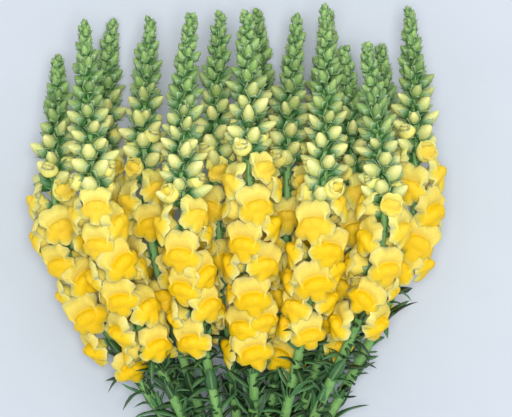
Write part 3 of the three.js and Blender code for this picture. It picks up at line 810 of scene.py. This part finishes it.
# %% The petals' marks
def petal_marks(age, opened):
    """The marks gold, rim, tube and pale, and the vein place and youth, for each flower."""
    s, part = ROW_SHARE, ROW_PART
    lobes = (part == BACK) | (part == FACE)
    gold_fades, tube_fades = smooth((GOLD_END - s) / GOLD_FADE), smooth((TUBE_END - s) / TUBE_FADE)
    golden = np.where(part == FACE, (1 - UPPER) * gold_fades, part == PALATE)
    rim = np.where(lobes, smooth((s - RIM_START) / (1 - RIM_START)), 0)
    # The tube mark also carries painted light onto the shaded backs of the lobes
    tube_and_painted_light = np.where(part == TUBE, 1, np.where(part == BACK, tube_fades, 0))
    pale = np.where(lobes, lerp(*PALENESS, UPPER), 0)
    youth = lerp(*YOUTH, smooth(age / YOUTH_END)) + growth.uniform(*YOUTH_SCATTER, len(age))
    youth, ripe = per_copy(np.clip(youth, 0, 1), lerp(YOUNG_GOLD, 1, age) * smooth(opened))
    green = youth * lerp(1, GREEN_PALATE, golden) + GREEN_BASE * np.where(part == TUBE, 1 - s, 0)
    marks = layered(golden * ripe, rim, tube_and_painted_light, pale)
    return marks, layered(SINE, COSINE, np.clip(green, 0, 1))


# %% The flowers of a stem
def turned(up, side, angle):
    """Up and side turned by an angle about the direction that both are square to."""
    cosine, sine = np.cos(angle)[:, None], np.sin(angle)[:, None]
    return up * cosine + side * sine, side * cosine - up * sine


def bloom_skin(stem):
    """All the flowers of a stem, each rolled a little about its own axis."""
    mine = bloom_stem == stem
    size = bloom_size[mine] * growth.uniform(*SIZE_SCATTER, mine.sum())
    grids = corolla(size, bloom_opened[mine])
    marks, veins = petal_marks(bloom_age[mine], bloom_opened[mine])
    roll = growth.uniform(-ROLL, ROLL, len(size))
    up, side = turned(bloom_up[mine], bloom_side[mine], roll)
    skin = placed_skins((bloom_origin[mine], bloom_facing[mine], up, side), *grids, marks)
    skin["veins"] = closed_skins(veins, marks)["points"]
    return skin


# %% Fifteen racemes of open flowers
def face_count(pieces):
    """How many faces some pieces have between them."""
    return sum(len(piece.data.polygons) for piece in pieces)


bloom_pieces = []
for stem in range(len(STEMS)):
    skin = bloom_skin(stem)
    piece = make_piece(f"flowers_{stem + 1:02d}", [skin], [PETAL])
    veins = piece.data.attributes.new("petal", "FLOAT_VECTOR", "POINT")
    veins.data.foreach_set("vector", skin["veins"].astype(np.float32).ravel())
    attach(piece, "root")
    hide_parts(f"blooms_{stem + 1:02d}")
    bloom_pieces.append(piece)
print("flower pieces:", len(bloom_pieces), "- faces:", face_count(bloom_pieces))

# %% [markdown]
# ## The green of a stem
#
# Stem, buds, sepals and leaves of one stem hold together, so they are one piece with a finish
# for each kind of part. The stem is ribbed, leaves have a pale rib and slanting veins, and a
# bud turns from green to pale yellow as it ripens, from its tip downwards.

# %% Green finishes
STEM_GREEN = colour("76A45A")
STEM_LIGHT = colour("9CBC76")
PITH = colour("D9E2B4")
# Near black: partly the leaves' own deep green, partly painted shade for the depths among the stems
LEAF_DARK_AND_SHADE = colour("0A2410")
LEAF_LIGHT = colour("568A54")
BUD_PALE = colour("EAE294")
BUD_GREEN = colour("85AE60")
BUD_DEEP = colour("3A7038")
# Pale sepal tips: partly their own pale hairy tips, partly a painted highlight
SEPAL_TIP_AND_HIGHLIGHT = colour("CEE0AE")
STEM_SHADE = (0.6, 0.75, 0.62)
LEAF_SHADE = (0.7, 0.82, 0.75)
BUD_SHADE = (0.72, 0.82, 0.66)
GREEN_SCALE = {"Subsurface_Scale": 0.002}
RIB_SHARPNESS, VEIN_SLANT = 9.0, -1.6
# Green buds are a little pale at the tip: partly their own colour, partly a painted highlight
GREEN_BUD_TIP_AND_HIGHLIGHT = 0.15  # how pale the tip of a green bud is, where that of a ripe one is 1


def make_stem_finish():
    """Marks are the place round the stem as sine and cosine, the cut face, and the youth."""
    material, tree, shader = new_material("stem_skin", 0.5, Subsurface_Weight=0.08, **GREEN_SCALE)
    sine, cosine, cut, youth = surface_marks(tree)
    sine, cosine = (maths(tree, "SUBTRACT", part, 0.5) for part in (sine, cosine))
    angle = maths(tree, "ARCTAN2", sine, cosine)
    lines = grown_lines(tree, angle, count=16.0, wander=1.0, sharpness=2.0)
    green = mixed(tree, lines, STEM_GREEN, STEM_LIGHT, most=0.5)
    green = mixed(tree, youth, green, BUD_GREEN)
    green, value = mottled(tree, green, shaded(tree, green, STEM_SHADE), scale=35.0)
    height = maths(tree, "MULTIPLY_ADD", value, 0.3, lines)
    dress(tree, shader, mixed(tree, cut, green, PITH), height, strength=0.4, depth=0.0003)
    return material


def make_leaf_finish():
    """Marks are the place along the blade, across it, its youth and a shade of its own."""
    material, tree, shader = new_material("leaf_blade", 0.45, Subsurface_Weight=0.1, **GREEN_SCALE)
    along, across, youth, shade = surface_marks(tree)
    middle = maths(tree, "ABSOLUTE", maths(tree, "SUBTRACT", across, 0.5))
    rib = maths(tree, "SUBTRACT", 1.0, maths(tree, "MULTIPLY", middle, RIB_SHARPNESS), clamp=True)
    slant = maths(tree, "MULTIPLY_ADD", middle, VEIN_SLANT, along)
    lines = grown_lines(tree, slant, count=60.0, wander=1.5, sharpness=2.0)
    # The darkest leaves carry painted shade as well as their own deep green
    green = mixed(tree, shade, LEAF_DARK_AND_SHADE, LEAF_LIGHT)
    green = mixed(tree, youth, green, BUD_GREEN)
    green = mixed(tree, rib, green, STEM_LIGHT, most=0.6)
    darker = shaded(tree, green, LEAF_SHADE)
    green = mixed(tree, lines, green, darker, most=0.4)
    green, _ = mottled(tree, green, darker, scale=45.0)
    height = maths(tree, "ADD", maths(tree, "MULTIPLY", lines, -0.5), rib)
    dress(tree, shader, green, height, strength=0.4, depth=0.0004)
    return material


def make_bud_finish():
    """Marks are the share along the bud, its ripeness, whether it is sepal, and a shade."""
    material, tree, shader = new_material("bud_skin", 0.5, Subsurface_Weight=0.12, **GREEN_SCALE)
    along, ripe, sepal, shade = surface_marks(tree)
    tip = ranged(tree, along, From_Min=0.35, From_Max=0.95)
    # Ripe buds pale from the tip down; green buds get a slight pale tip that is partly painted
    # highlight
    most = maths(tree, "MULTIPLY_ADD", ripe, 1 - GREEN_BUD_TIP_AND_HIGHLIGHT, GREEN_BUD_TIP_AND_HIGHLIGHT)
    pale = maths(tree, "MULTIPLY", tip, most)
    green = mixed(tree, shade, BUD_DEEP, BUD_GREEN)
    green = mixed(tree, ripe, green, BUD_PALE, most=0.5)
    green = mixed(tree, pale, green, BUD_PALE)
    # Sepals paler towards their tips: partly their own colour, partly a painted highlight
    green = mixed(tree, sepal, green, mixed(tree, tip, BUD_DEEP, SEPAL_TIP_AND_HIGHLIGHT, most=0.6))
    green, value = mottled(tree, green, shaded(tree, green, BUD_SHADE), scale=80.0)
    dress(tree, shader, green, value, strength=0.3, depth=0.0004)
    return material


STEM_SKIN, LEAF_BLADE, BUD_SKIN = make_stem_finish(), make_leaf_finish(), make_bud_finish()
LEAF_SLOT, BUD_SLOT = 1, 2  # and 0 is the stem's skin
print("finishes:", STEM_SKIN.name, LEAF_BLADE.name, BUD_SKIN.name)

# %% [markdown]
# ## The stem
#
# A snapdragon stem is round with faint ribs. It is swept along its path with the section's
# radius tapering towards the tip; the cut end is flat, with a rim and paler pith.

# %% The stem's surface
STEM_SIDES = 14
STEM_STEP = 6.0
STEM_SHORT = 2.0  # how far below the tip of its spike a stem ends
BUD_CORE = (2.6, 0.8)  # radius among the first and the last buds
PITH_SHARE = 0.72
RIBS, RIB_DEPTH = 5, 0.04
TIP_YOUTH = 0.8


def stem_skin(stem):
    """Rings round the path at even steps of y. Radius: the taper, times 1 + 0.04 cos(5 angle)."""
    tip = TIP_Y[stem] - STEM_SHORT
    steps = np.arange(-CUT_LENGTH + STEM_STEP, tip, STEM_STEP)
    y = np.concatenate([[-CUT_LENGTH] * 3, steps, [tip] * 2])
    origin, _, up, side = axis_frame(stem, y)
    spike = np.clip((y - LAST[stem]) / (tip - LAST[stem]), 0, 1)
    radius = np.where(y > LAST[stem], lerp(*BUD_CORE, spike), stem_radius(stem, y))
    radius[[0, -1]] = 0
    radius[1] *= PITH_SHARE
    angle = round_angles(STEM_SIDES)
    ribbed = radius[:, None] * (1 + RIB_DEPTH * np.cos(RIBS * angle + SWAY_PHASE[stem]))
    place = 0.5 + 0.5 * np.sin(angle), 0.5 + 0.5 * np.cos(angle)
    cut = np.arange(len(y)) < 2
    marks = layered(*place, cut[:, None], TIP_YOUTH * spike[:, None])
    return swept_skin(origin, up, side, ribbed, angle, marks)


# %% [markdown]
# ## Buds and sepals
#
# Buds are rounded and point up the stem, the youngest like scales and the oldest as fat
# balloons about to open. Below each is a cup of five pointed sepals, which also sits round
# the base of every open flower. Both are small lofts, repeated hundreds of times with a few
# dozen faces each.

# %% Sizes of buds and sepals
FOLDS = 5  # of a bud, and sepals of a cup
BUD_SIDES = 2 * FOLDS
BUD_ROWS = np.array([0.0, 0.05, 0.2, 0.42, 0.64, 0.83, 0.94, 0.985, 1.0])
CUP_ROWS = np.array([0.0, 0.04, 0.35, 0.75, 1.0, 0.8, 0.3])  # shares of the reach: up, over and in
CUP_SWELL = np.array([0.0, 0.35, 0.85, 1.08, 1.2, 1.0, 0.0])  # radius there, as a share
CUP_CUT, CUP_FLARE = slice(3, None), slice(3, 6)  # the rows cut into sepals, and flared out
SEPAL_NOTCH, SEPAL_FLARE = 0.55, (0.9, 1.15)
# Pairs are at the first and the last bud of a spike.
BUD_LENGTH, BUD_WIDTH = (19.5, 6.5), (11.4, 4.2)
BUD_ANGLE, BUD_STEP, BUD_BASE = (1.15, 0.5), (3.2, 1.7), (3.0, 0.3)
CUP_REACH, CUP_WIDTH = (0.56, 0.85), (1.0, 1.15)  # shares of the bud's length and width
CALYX_REACH, CALYX_WIDTH = 8.3, 9.4  # of the cup at an open flower of size 1
BUDS_BELOW = 22.0  # how far the buds reach down among the youngest flowers
BUDS_SHORT = 4.0  # how far below the tip the last bud sits
BUD_FOLD, FOLD_START, FOLD_RISE = 0.1, 0.2, 0.6
BUD_BEND, CUP_BEND = -0.06, -0.03
FIRST_BUD = 40  # turns at the golden angle before the first bud
TURN_SWING, ANGLE_SWING = 0.25, 0.2  # at random, either way
LENGTH_SCATTER, WIDTH_SCATTER = (0.8, 1.15), (0.85, 1.15)
CUP_SINKS, CALYX_SINKS = 0.4, 1.0
RIPE_UP_TO, RIPE_FADE = 0.58, 0.36  # the share of the spike where buds are ripe, and its edge
SHADE_BY_PLACE = 0.4  # how much a bud's shade goes by its place, where the rest is random


# %% Where buds grow, and how they lean
def bud_places(stem):
    """y, share t and turn of each bud. The steps shrink by t^0.7 from among the youngest flowers
    to the tip."""
    start, tip = LAST[stem] - BUDS_BELOW, TIP_Y[stem] - BUDS_SHORT
    y, places = start, []
    while y < tip:
        t = (y - start) / (tip - start)
        places.append((y, t, STEM_TURN[stem] + GOLDEN_ANGLE * (len(places) + FIRST_BUD)))
        y += lerp(*BUD_STEP, t**0.7)
    return np.array(places).T


def leaning(stem, y, turn, angle):
    """A frame on a stem whose direction leans out by an angle at a turn round the stem."""
    origin, along, up, side = axis_frame(stem, y)
    outward = up * np.cos(turn)[:, None] + side * np.sin(turn)[:, None]
    direction, over = turned(along, outward, angle)
    return origin, direction, over, np.cross(direction, over)


# %% Buds and sepal cups
def bent_loft(frames, out, radius, bend, marks):
    """Rings of a radius round a middle line that lies by 'bend' off the frame's direction."""
    angle = round_angles(BUD_SIDES)
    height, across = radius * np.cos(angle) + bend, radius * np.sin(angle)
    return placed_skins(frames, out, height, across, marks, BUD_SLOT)


def bud_skin(frames, base, length, width, ripe, shade):
    """Rings of radius width / 2 sin(pi t^0.85)^0.6 at the share t of the length, with five folds
    that deepen towards the tip, bent a little towards the stem."""
    base, length, width, ripe, shade = per_copy(base, length, width, ripe, shade)
    t = BUD_ROWS[:, None]
    wave = np.cos(FOLDS * round_angles(BUD_SIDES))
    folds = 1 + BUD_FOLD * smooth((t - FOLD_START) / FOLD_RISE) * wave
    radius = 0.5 * width * np.sin(math.pi * t**0.85) ** 0.6 * folds
    marks = layered(t, ripe, 0.0, shade)
    return bent_loft(frames, base + length * t, radius, BUD_BEND * length * t**2, marks)


def cup_skin(frames, base, reach, width, shade):
    """A cup of five sepals: its rim rises and falls five times, and the skin turns over it and
    goes back down inside to a pole."""
    base, reach, width, shade = per_copy(base, reach, width, shade)
    pointed = np.tile([1.0, SEPAL_NOTCH], FOLDS)
    rise, swell = (np.tile(rows[:, None], BUD_SIDES) for rows in (CUP_ROWS, CUP_SWELL))
    rise[CUP_CUT] *= pointed
    swell[CUP_FLARE] *= lerp(*SEPAL_FLARE, pointed)
    marks = layered(rise, 0.0, 1.0, shade)
    radius, bend = 0.5 * width * swell, CUP_BEND * reach * rise**2
    return bent_loft(frames, base + reach * rise, radius, bend, marks)


# %% A stem's buds and sepals
def spike_skins(stem):
    """Buds of a spike with their sepals. Sizes shrink with the share t of the spike."""
    y, t, turn = bud_places(stem)

    def scattered(low, high):
        """A random number from low to high for each bud."""
        return growth.uniform(low, high, len(y))

    turn = turn + scattered(-TURN_SWING, TURN_SWING)
    angle = lerp(*BUD_ANGLE, t**2) + scattered(-ANGLE_SWING, ANGLE_SWING)
    frames = leaning(stem, y, turn, angle)
    length = lerp(*BUD_LENGTH, t**2) * scattered(*LENGTH_SCATTER)
    width = lerp(*BUD_WIDTH, t) * scattered(*WIDTH_SCATTER)
    base = lerp(*BUD_BASE, t)
    ripe = smooth((RIPE_UP_TO - t) / RIPE_FADE)
    shade = lerp(scattered(0, 1), t, SHADE_BY_PLACE)
    reach = length * lerp(*CUP_REACH, t**0.5)
    cups = cup_skin(frames, base - CUP_SINKS, reach, width * lerp(*CUP_WIDTH, t), shade)
    return [bud_skin(frames, base, length, width, ripe, shade), cups]


def calyx_skin(stem):
    """A sepal cup at the base of each open flower."""
    mine = bloom_stem == stem
    size = bloom_size[mine]
    frames = bloom_origin[mine], bloom_facing[mine], bloom_up[mine], bloom_side[mine]
    base = stem_radius(stem, bloom_y[mine]) - CALYX_SINKS
    shade = growth.uniform(0, 1, len(size))
    return cup_skin(frames, base, CALYX_REACH * size, CALYX_WIDTH * size, shade)


# %% [markdown]
# ## Leaves
#
# Leaves are narrow lances with a fold along the rib and a slight arch. The large ones grow
# where the growth rules of the construction model put them. Smaller ones fill the crowd of
# stems below the flowers, and a bract sits below each flower and bud. A leaf looks for the
# side with the most room, as a shoot turns to the light.

# %% The large leaves' places
LEAF_COUNT = 3
LEAF_START = 62.0
LEAF_STOP = 12.0
LEAF_SCATTER = 0.6
LEAF_LENGTH = 44.0
LEAF_WIDTH = 8.0
LEAF_ARCH = 0.15
LEAF_FOLD = 0.3
LEAF_LEAN = (0.2, 0.38)
LEAF_SIZES = (1.0, 0.75, 0.5)
LEAF_TURNS = 8
LEAF_SAMPLES = np.array([0.25, 0.45, 0.65, 0.85, 1.0])
SURFACE_GAP, STEM_GAP, FACE_GAP, TUBE_GAP, LEAF_GAP = 1.0, 3.0, 18.0, 10.0, 7.0
face_middle = bloom_origin + bloom_facing * (BLOOM_REACH * bloom_size)[:, None]
tube_middle = bloom_origin + bloom_facing * (0.5 * BLOOM_REACH * bloom_size)[:, None]


# %% Room for leaves
def leaf_middle(frames, length):
    """origin + length t along + LEAF_ARCH length t^2 up, for each leaf and each sample t."""
    origin, along, up, _ = (vector[:, None] for vector in frames)
    t, length = LEAF_SAMPLES[:, None], np.asarray(length)[..., None, None]
    return origin + length * (along * t + LEAF_ARCH * up * t**2)


def free_room(points, stem, taken):
    """For each row of points, the least distance left to the table, the other stems, the flowers
    and the leaves so far, once each keeps its own room."""
    others = np.arange(len(STEMS))
    y = points[..., 1, None]
    gap = np.linalg.norm(points[..., None, :] - axis_point(others, y), axis=-1)
    gap = np.where((others == stem) | (y > TIP_Y), np.inf, gap - room_round(others, y) - STEM_GAP)
    rooms = [points[..., 2] - SURFACE_GAP, gap.min(-1)]
    for middles, keep in ((face_middle, FACE_GAP), (tube_middle, TUBE_GAP), (taken, LEAF_GAP)):
        if len(middles):
            rooms.append(np.linalg.norm(points[..., None, :] - middles, axis=-1).min(-1) - keep)
    return np.min(rooms, (0, -1))


def place_large_leaves():
    """Rows of stem, y, turn, lean and length, and the points that the leaves take up."""
    rows, taken = [], np.zeros((0, 3))
    turn = round_angles(LEAF_TURNS)
    for k in range(LEAF_COUNT):
        for stem in range(len(STEMS)):
            place = (k + LEAF_SCATTER * next(draws)) / LEAF_COUNT
            y = lerp(LEAF_START, FIRST[stem] - LEAF_STOP, place)
            lean = lerp(*LEAF_LEAN, next(draws))
            frames = leaning(stem, np.full(LEAF_TURNS, y), turn, np.full(LEAF_TURNS, lean))
            for size in LEAF_SIZES:
                length = LEAF_LENGTH * size
                points = leaf_middle(frames, length)
                room = free_room(points, stem, taken)
                best = int(room.argmax())
                if room[best] > 0:
                    rows.append((stem, y, turn[best], lean, length))
                    taken = np.concatenate([taken, points[best]])
                    break
    return np.array(rows).T, taken


large_leaves, leaf_points = place_large_leaves()
print("large leaves:", large_leaves.shape[1])

# %% The leaf's surface
LEAF_ROWS = np.array([0.0, 0.03, 0.1, 0.2, 0.32, 0.45, 0.58, 0.7, 0.81, 0.9, 0.97, 1.0])
SMALL_ROWS = np.array([0.0, 0.05, 0.2, 0.4, 0.6, 0.8, 0.94, 1.0])
LEAF_SIDES, SMALL_SIDES = 8, 6
LEAF_THICKNESS = 0.7
LEAF_EDGE = 0.5  # half width that a leaf has at least in its middle
# Waves of edge and rib, and the rib's sideways swing: pace along the leaf, and height as a share
# of the width for the edge and of the length for the others.
EDGE_WAVE, RIB_WAVE, SWING = (9, 0.16), (5, 0.02), (2.5, 0.03)
THICK_FROM, THICK_TO = 8, 6  # one part in so many of the length tapers to the base and the tip
ARCH_SHORTENS = 0.3


def leaf_skin(frames, length, width, arch, youth, rows=SMALL_ROWS, sides=SMALL_SIDES):
    """Half width at t: width / 2 (sin(pi t^0.75))^0.8. Each section is a thin lens folded along the
    rib; the middle line arches out by arch length t^2, and rib and edges wave a little."""
    phases = growth.uniform(0, 2 * math.pi, (len(length), 2)).T
    shade = growth.uniform(0, 1, len(length))
    edge, rib, length, width = per_copy(*phases, length, width)
    arch, youth, shade = per_copy(arch, youth, shade)
    t, angle = rows[:, None], round_angles(sides)

    def wave(kind, phase):
        """share sin(pace t + phase)."""
        pace, share = kind
        return share * np.sin(pace * t + phase)

    middle = np.sin(math.pi * t)
    half = 0.5 * width * np.sin(math.pi * t**0.75) ** 0.8 + LEAF_EDGE * middle
    across = half * np.sin(angle)
    waves = across * wave(EDGE_WAVE, edge) + length * middle * wave(RIB_WAVE, rib)
    taper = np.minimum(1, THICK_FROM * t) * np.minimum(1, THICK_TO * (1 - t))
    thick = LEAF_THICKNESS * np.cos(angle) * taper
    height = length * arch * t**2 - LEAF_FOLD * np.abs(across) + thick + waves
    out = length * t * (1 - ARCH_SHORTENS * arch * t)
    marks = layered(t, 0.5 + 0.5 * np.sin(angle), youth, shade)
    sideways = across + length * t * wave(SWING, rib)
    return placed_skins(frames, out, height, sideways, marks, LEAF_SLOT)


# %% Sizes of small leaves and bracts
SMALL_LEAVES = 84
SMALL_START, SMALL_PAST = 40.0, 8.0  # from the twine, and how far up among the first flowers
SMALL_LENGTH = (12.0, 30.0)
SMALL_LEAN = (0.35, 1.2)
SMALL_TURNS = np.array([-0.7, 0.0, 0.7])
SMALL_SWING = 3.0  # how far up or down the stem a small leaf strays
SMALL_WIDTH = (0.2, 0.34)  # share of the length
SMALL_CROWDING = 0.75  # below 1, for leaves that stand closer towards the flowers
SMALL_ARCH, BRACT_ARCH = (-0.3, 0.7), (-0.2, 0.4)
BRACT_BELOW = (5.0, 3.0)  # how far below its flower and its bud
# Bracts: at a flower, and at the first and the last bud.
BRACT_LENGTH = (13.0, 14.0, 7.5)
BRACT_LEAN = (1.0, 1.05, 0.5)
BRACT_YOUTH = (0.35, 0.5, 1.0)
BRACT_WIDTH = (0.26, 0.48, 0.48)  # shares of the length
BRACT_SCATTER = (0.85, 1.2)
LARGE_WIDTH_SCATTER, LARGE_ARCH_SCATTER = (0.9, 1.15), (0.8, 1.8)


# %% A stem's leaves
def large_leaf_skin(stem):
    """The large leaves of one stem."""
    _, y, turn, lean, length = large_leaves[:, large_leaves[0] == stem]
    scatter = growth.uniform(*LARGE_WIDTH_SCATTER, len(y))
    width = LEAF_WIDTH * scatter * (length / LEAF_LENGTH) ** 0.5
    arch = LEAF_ARCH * growth.uniform(*LARGE_ARCH_SCATTER, len(y))
    frames = leaning(stem, y, turn, lean)
    return leaf_skin(frames, length, width, arch, np.zeros(len(y)), LEAF_ROWS, LEAF_SIDES)


def small_leaf_skin(stem):
    """Small leaves at the golden angle up the bare stem, each at the freest of three turns."""
    count = SMALL_LEAVES
    place = np.linspace(0, 1, count) ** SMALL_CROWDING
    y = lerp(SMALL_START, FIRST[stem] + SMALL_PAST, place)
    y = y + growth.uniform(-SMALL_SWING, SMALL_SWING, count)
    lean = growth.uniform(*SMALL_LEAN, count)
    length = growth.uniform(*SMALL_LENGTH, count)
    turn = GOLDEN_ANGLE * np.arange(count) + STEM_TURN[stem]
    rooms = [
        free_room(leaf_middle(leaning(stem, y, turn + step, lean), length), stem, leaf_points)
        for step in SMALL_TURNS
    ]
    turn = turn + SMALL_TURNS[np.argmax(rooms, 0)]
    width = length * growth.uniform(*SMALL_WIDTH, count)
    arch = growth.uniform(*SMALL_ARCH, count)
    return leaf_skin(leaning(stem, y, turn, lean), length, width, arch, np.zeros(count))


def bract_skin(stem):
    """A narrow bract just below each flower, and below the middle place of each bud."""
    mine = bloom_stem == stem
    bud_y, t, bud_turn = bud_places(stem)

    def along_stem(at_flower, first, last):
        """One value for all the flowers, and values that run from the first bud to the last."""
        return np.concatenate([np.full(mine.sum(), at_flower), lerp(first, last, t)])

    y = np.concatenate([bloom_y[mine] - BRACT_BELOW[0], bud_y - BRACT_BELOW[1]])
    turn = np.concatenate([bloom_turn[mine], bud_turn])
    length = along_stem(*BRACT_LENGTH) * growth.uniform(*BRACT_SCATTER, len(y))
    arch = growth.uniform(*BRACT_ARCH, len(y))
    frames = leaning(stem, y, turn, along_stem(*BRACT_LEAN))
    width = length * along_stem(*BRACT_WIDTH)
    return leaf_skin(frames, length, width, arch, along_stem(*BRACT_YOUTH))


# %% Fifteen green stems
stem_pieces = []
for stem in range(len(STEMS)):
    skins = [
        stem_skin(stem),
        *spike_skins(stem),
        calyx_skin(stem),
        large_leaf_skin(stem),
        small_leaf_skin(stem),
        bract_skin(stem),
    ]
    piece = make_piece(f"green_{stem + 1:02d}", skins, [STEM_SKIN, LEAF_BLADE, BUD_SKIN])
    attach(piece, "root")
    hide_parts(f"stem_{stem + 1:02d}")
    stem_pieces.append(piece)
print("green pieces:", len(stem_pieces), "- faces:", face_count(stem_pieces))

# %% [markdown]
# ## The twine
#
# Three turns of jute hold the neck. A taut thread round a bundle follows its hull: at each
# angle it lies on the stem that reaches out furthest, and it is straight between two stems.
# The thread is three strands twisted together, so its section has three bumps that turn as it
# goes. The knot is a flattened trefoil, the simplest closed knot.

# %% The twine's sizes
TWINE_TURNS = 3
TWINE_SIDES = 15
TWINE_STEP = 1.1
STRANDS = 3
STRAND_DEPTH = 0.14
TWIST_LENGTH = 7.0
KNOT_SIZE = np.array([3.4, 2.3, 1.9]) / [3, 3, 1.6]  # half sizes, from those of the formula
KNOT_STEP = 0.7
KNOT_LIFT = 1.6
KNOT_THREAD = 1.15  # radius where the knot pulls the thread tight
KNOT_SPAN = (0.25, 2 * math.pi + 0.1)  # nearly once round
NECK_POINTS, KNOT_POINTS, TAIL_POINTS = 1440, 160, 16
NEVER_ALONG = [0.05, 1.0, 0.02]  # a direction that the thread never takes
TAIL_TWINE, TAIL_FORWARD = 9.0, (4.0, 3.0)
TAIL_START, TAIL_UP = np.array([2.5, 0.5, 0.0]), [0, 0, 0.3]  # from the knot's middle
TAIL_ARCH, TAIL_DROOP = 1.2, 1.5
JUTE_LIGHT = colour("CDB183")
JUTE_DARK = colour("A98A5A")
# Painted shade for the grooves between the twisted strands
GROOVE_PAINTED_SHADE = (0.42, 0.36, 0.3)


# %% The twine's path
def run_along(points):
    """The length of a polyline up to each of its points."""
    return np.concatenate([[0], np.cumsum(np.linalg.norm(np.diff(points, axis=0), axis=1))])


def evenly(points, step):
    """The same polyline with its points about a step apart."""
    run = run_along(points)
    where = np.linspace(0, run[-1], round(run[-1] / step))
    return np.stack([np.interp(where, run, points[:, k]) for k in range(3)], -1)


def neck_path():
    """Points of a thread wound TWINE_TURNS times round the neck, evenly spaced."""
    angle = np.linspace(0, 2 * math.pi * TWINE_TURNS, NECK_POINTS)
    outward = layered(np.sin(angle), 0.0, np.cos(angle))
    centres = layered(NECK_STEM_X, 0.0, NECK_STEM_Z)
    nearest = (outward @ centres.T).argmax(1)
    points = centres[nearest] + outward * (STEM_RADIUS + CLEAR + TWINE_RADIUS)
    points[:, 1] = lerp(-1, 1, angle / angle[-1]) * (TWINE_TURNS - 1) * TWINE_RADIUS
    return evenly(points, TWINE_STEP)


def knot_path(top):
    """A trefoil ((2 + cos 3a) cos 2a, (2 + cos 3a) sin 2a, sin 3a), flattened onto the twine."""
    a = np.linspace(*KNOT_SPAN, KNOT_POINTS)
    ring = 2 + np.cos(3 * a)
    curve = layered(ring * np.cos(2 * a), ring * np.sin(2 * a), np.sin(3 * a))
    return evenly(curve * KNOT_SIZE + top, KNOT_STEP)


def tail_path(start, sideways, forward):
    """A short cut end of the twine: sideways t, forward t^1.5, and a rise of sin(pi t) that
    droops by t onto the turns."""
    t = np.linspace(0, 1, TAIL_POINTS)
    lift = TAIL_ARCH * np.sin(math.pi * t) - TAIL_DROOP * t
    return start + layered(sideways * t, forward * t**1.5, lift)


# %% The thread's surface and finish
def thread_skin(path, radius):
    """A section of radius (0.86 + 0.14 cos(STRANDS angle - twist)) swept along the path."""
    along = unit(np.gradient(path, axis=0))
    side = unit(np.cross(along, NEVER_ALONG))
    run = run_along(path)[:, None]
    angle = round_angles(TWINE_SIDES)
    strand = np.cos(STRANDS * angle - 2 * math.pi * run / TWIST_LENGTH)
    section = radius * (1 - STRAND_DEPTH + STRAND_DEPTH * strand)
    section[[0, -1]] = 0
    marks = layered(0.5 + 0.5 * strand, 0.0, 0.0, 0.0)
    return swept_skin(path, np.cross(side, along), side, section, angle, marks)


def make_twine_finish():
    """The first mark is the height of the strand."""
    material, tree, shader = new_material("jute", 0.85)
    strand = surface_marks(tree)[0]
    tint, value = mottled(tree, JUTE_LIGHT, JUTE_DARK, scale=260.0)
    # Painted shade: the grooves between the strands are darkened
    tint = mixed(tree, strand, shaded(tree, tint, GROOVE_PAINTED_SHADE), tint)
    height = maths(tree, "MULTIPLY_ADD", value, 0.6, strand)
    dress(tree, shader, tint, height, strength=0.6, depth=0.0004)
    return material


# %% Three turns, a knot and two ends
turns = neck_path()
knot_top = turns[0] * [1, 0, 1] + [0, 0, TWINE_RADIUS + KNOT_LIFT]
paths = [knot_path(knot_top)]
for way, forward in zip((1, -1), TAIL_FORWARD):
    start = knot_top + way * TAIL_START + TAIL_UP
    paths.append(tail_path(start, way * TAIL_TWINE, way * forward))
skins = [thread_skin(turns, TWINE_RADIUS)]
skins += [thread_skin(path, KNOT_THREAD) for path in paths]
twine = make_piece("twine", skins, [make_twine_finish()])
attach(twine, "root")
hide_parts("tie")
print("twine faces:", face_count([twine]))

# %% [markdown]
# ## The table
#
# A pale matt sheet, wide enough for views from the side. It is no part of the bunch.

# %% Table
TABLE_HALF = 6.0
table = bpy.data.meshes.new("table")
corners = [(x * TABLE_HALF, y * TABLE_HALF, 0) for x, y in ((-1, -1), (1, -1), (1, 1), (-1, 1))]
table.from_pydata(corners, [], [range(4)])
paper, tree, shader = new_material("paper", 0.9)
tint, _ = mottled(tree, colour("BAC1C9"), colour("B7BEC6"), scale=3.0)
tree.links.new(tint, shader.inputs["Base Color"])
table.materials.append(paper)
floor = add_object("floor", table)
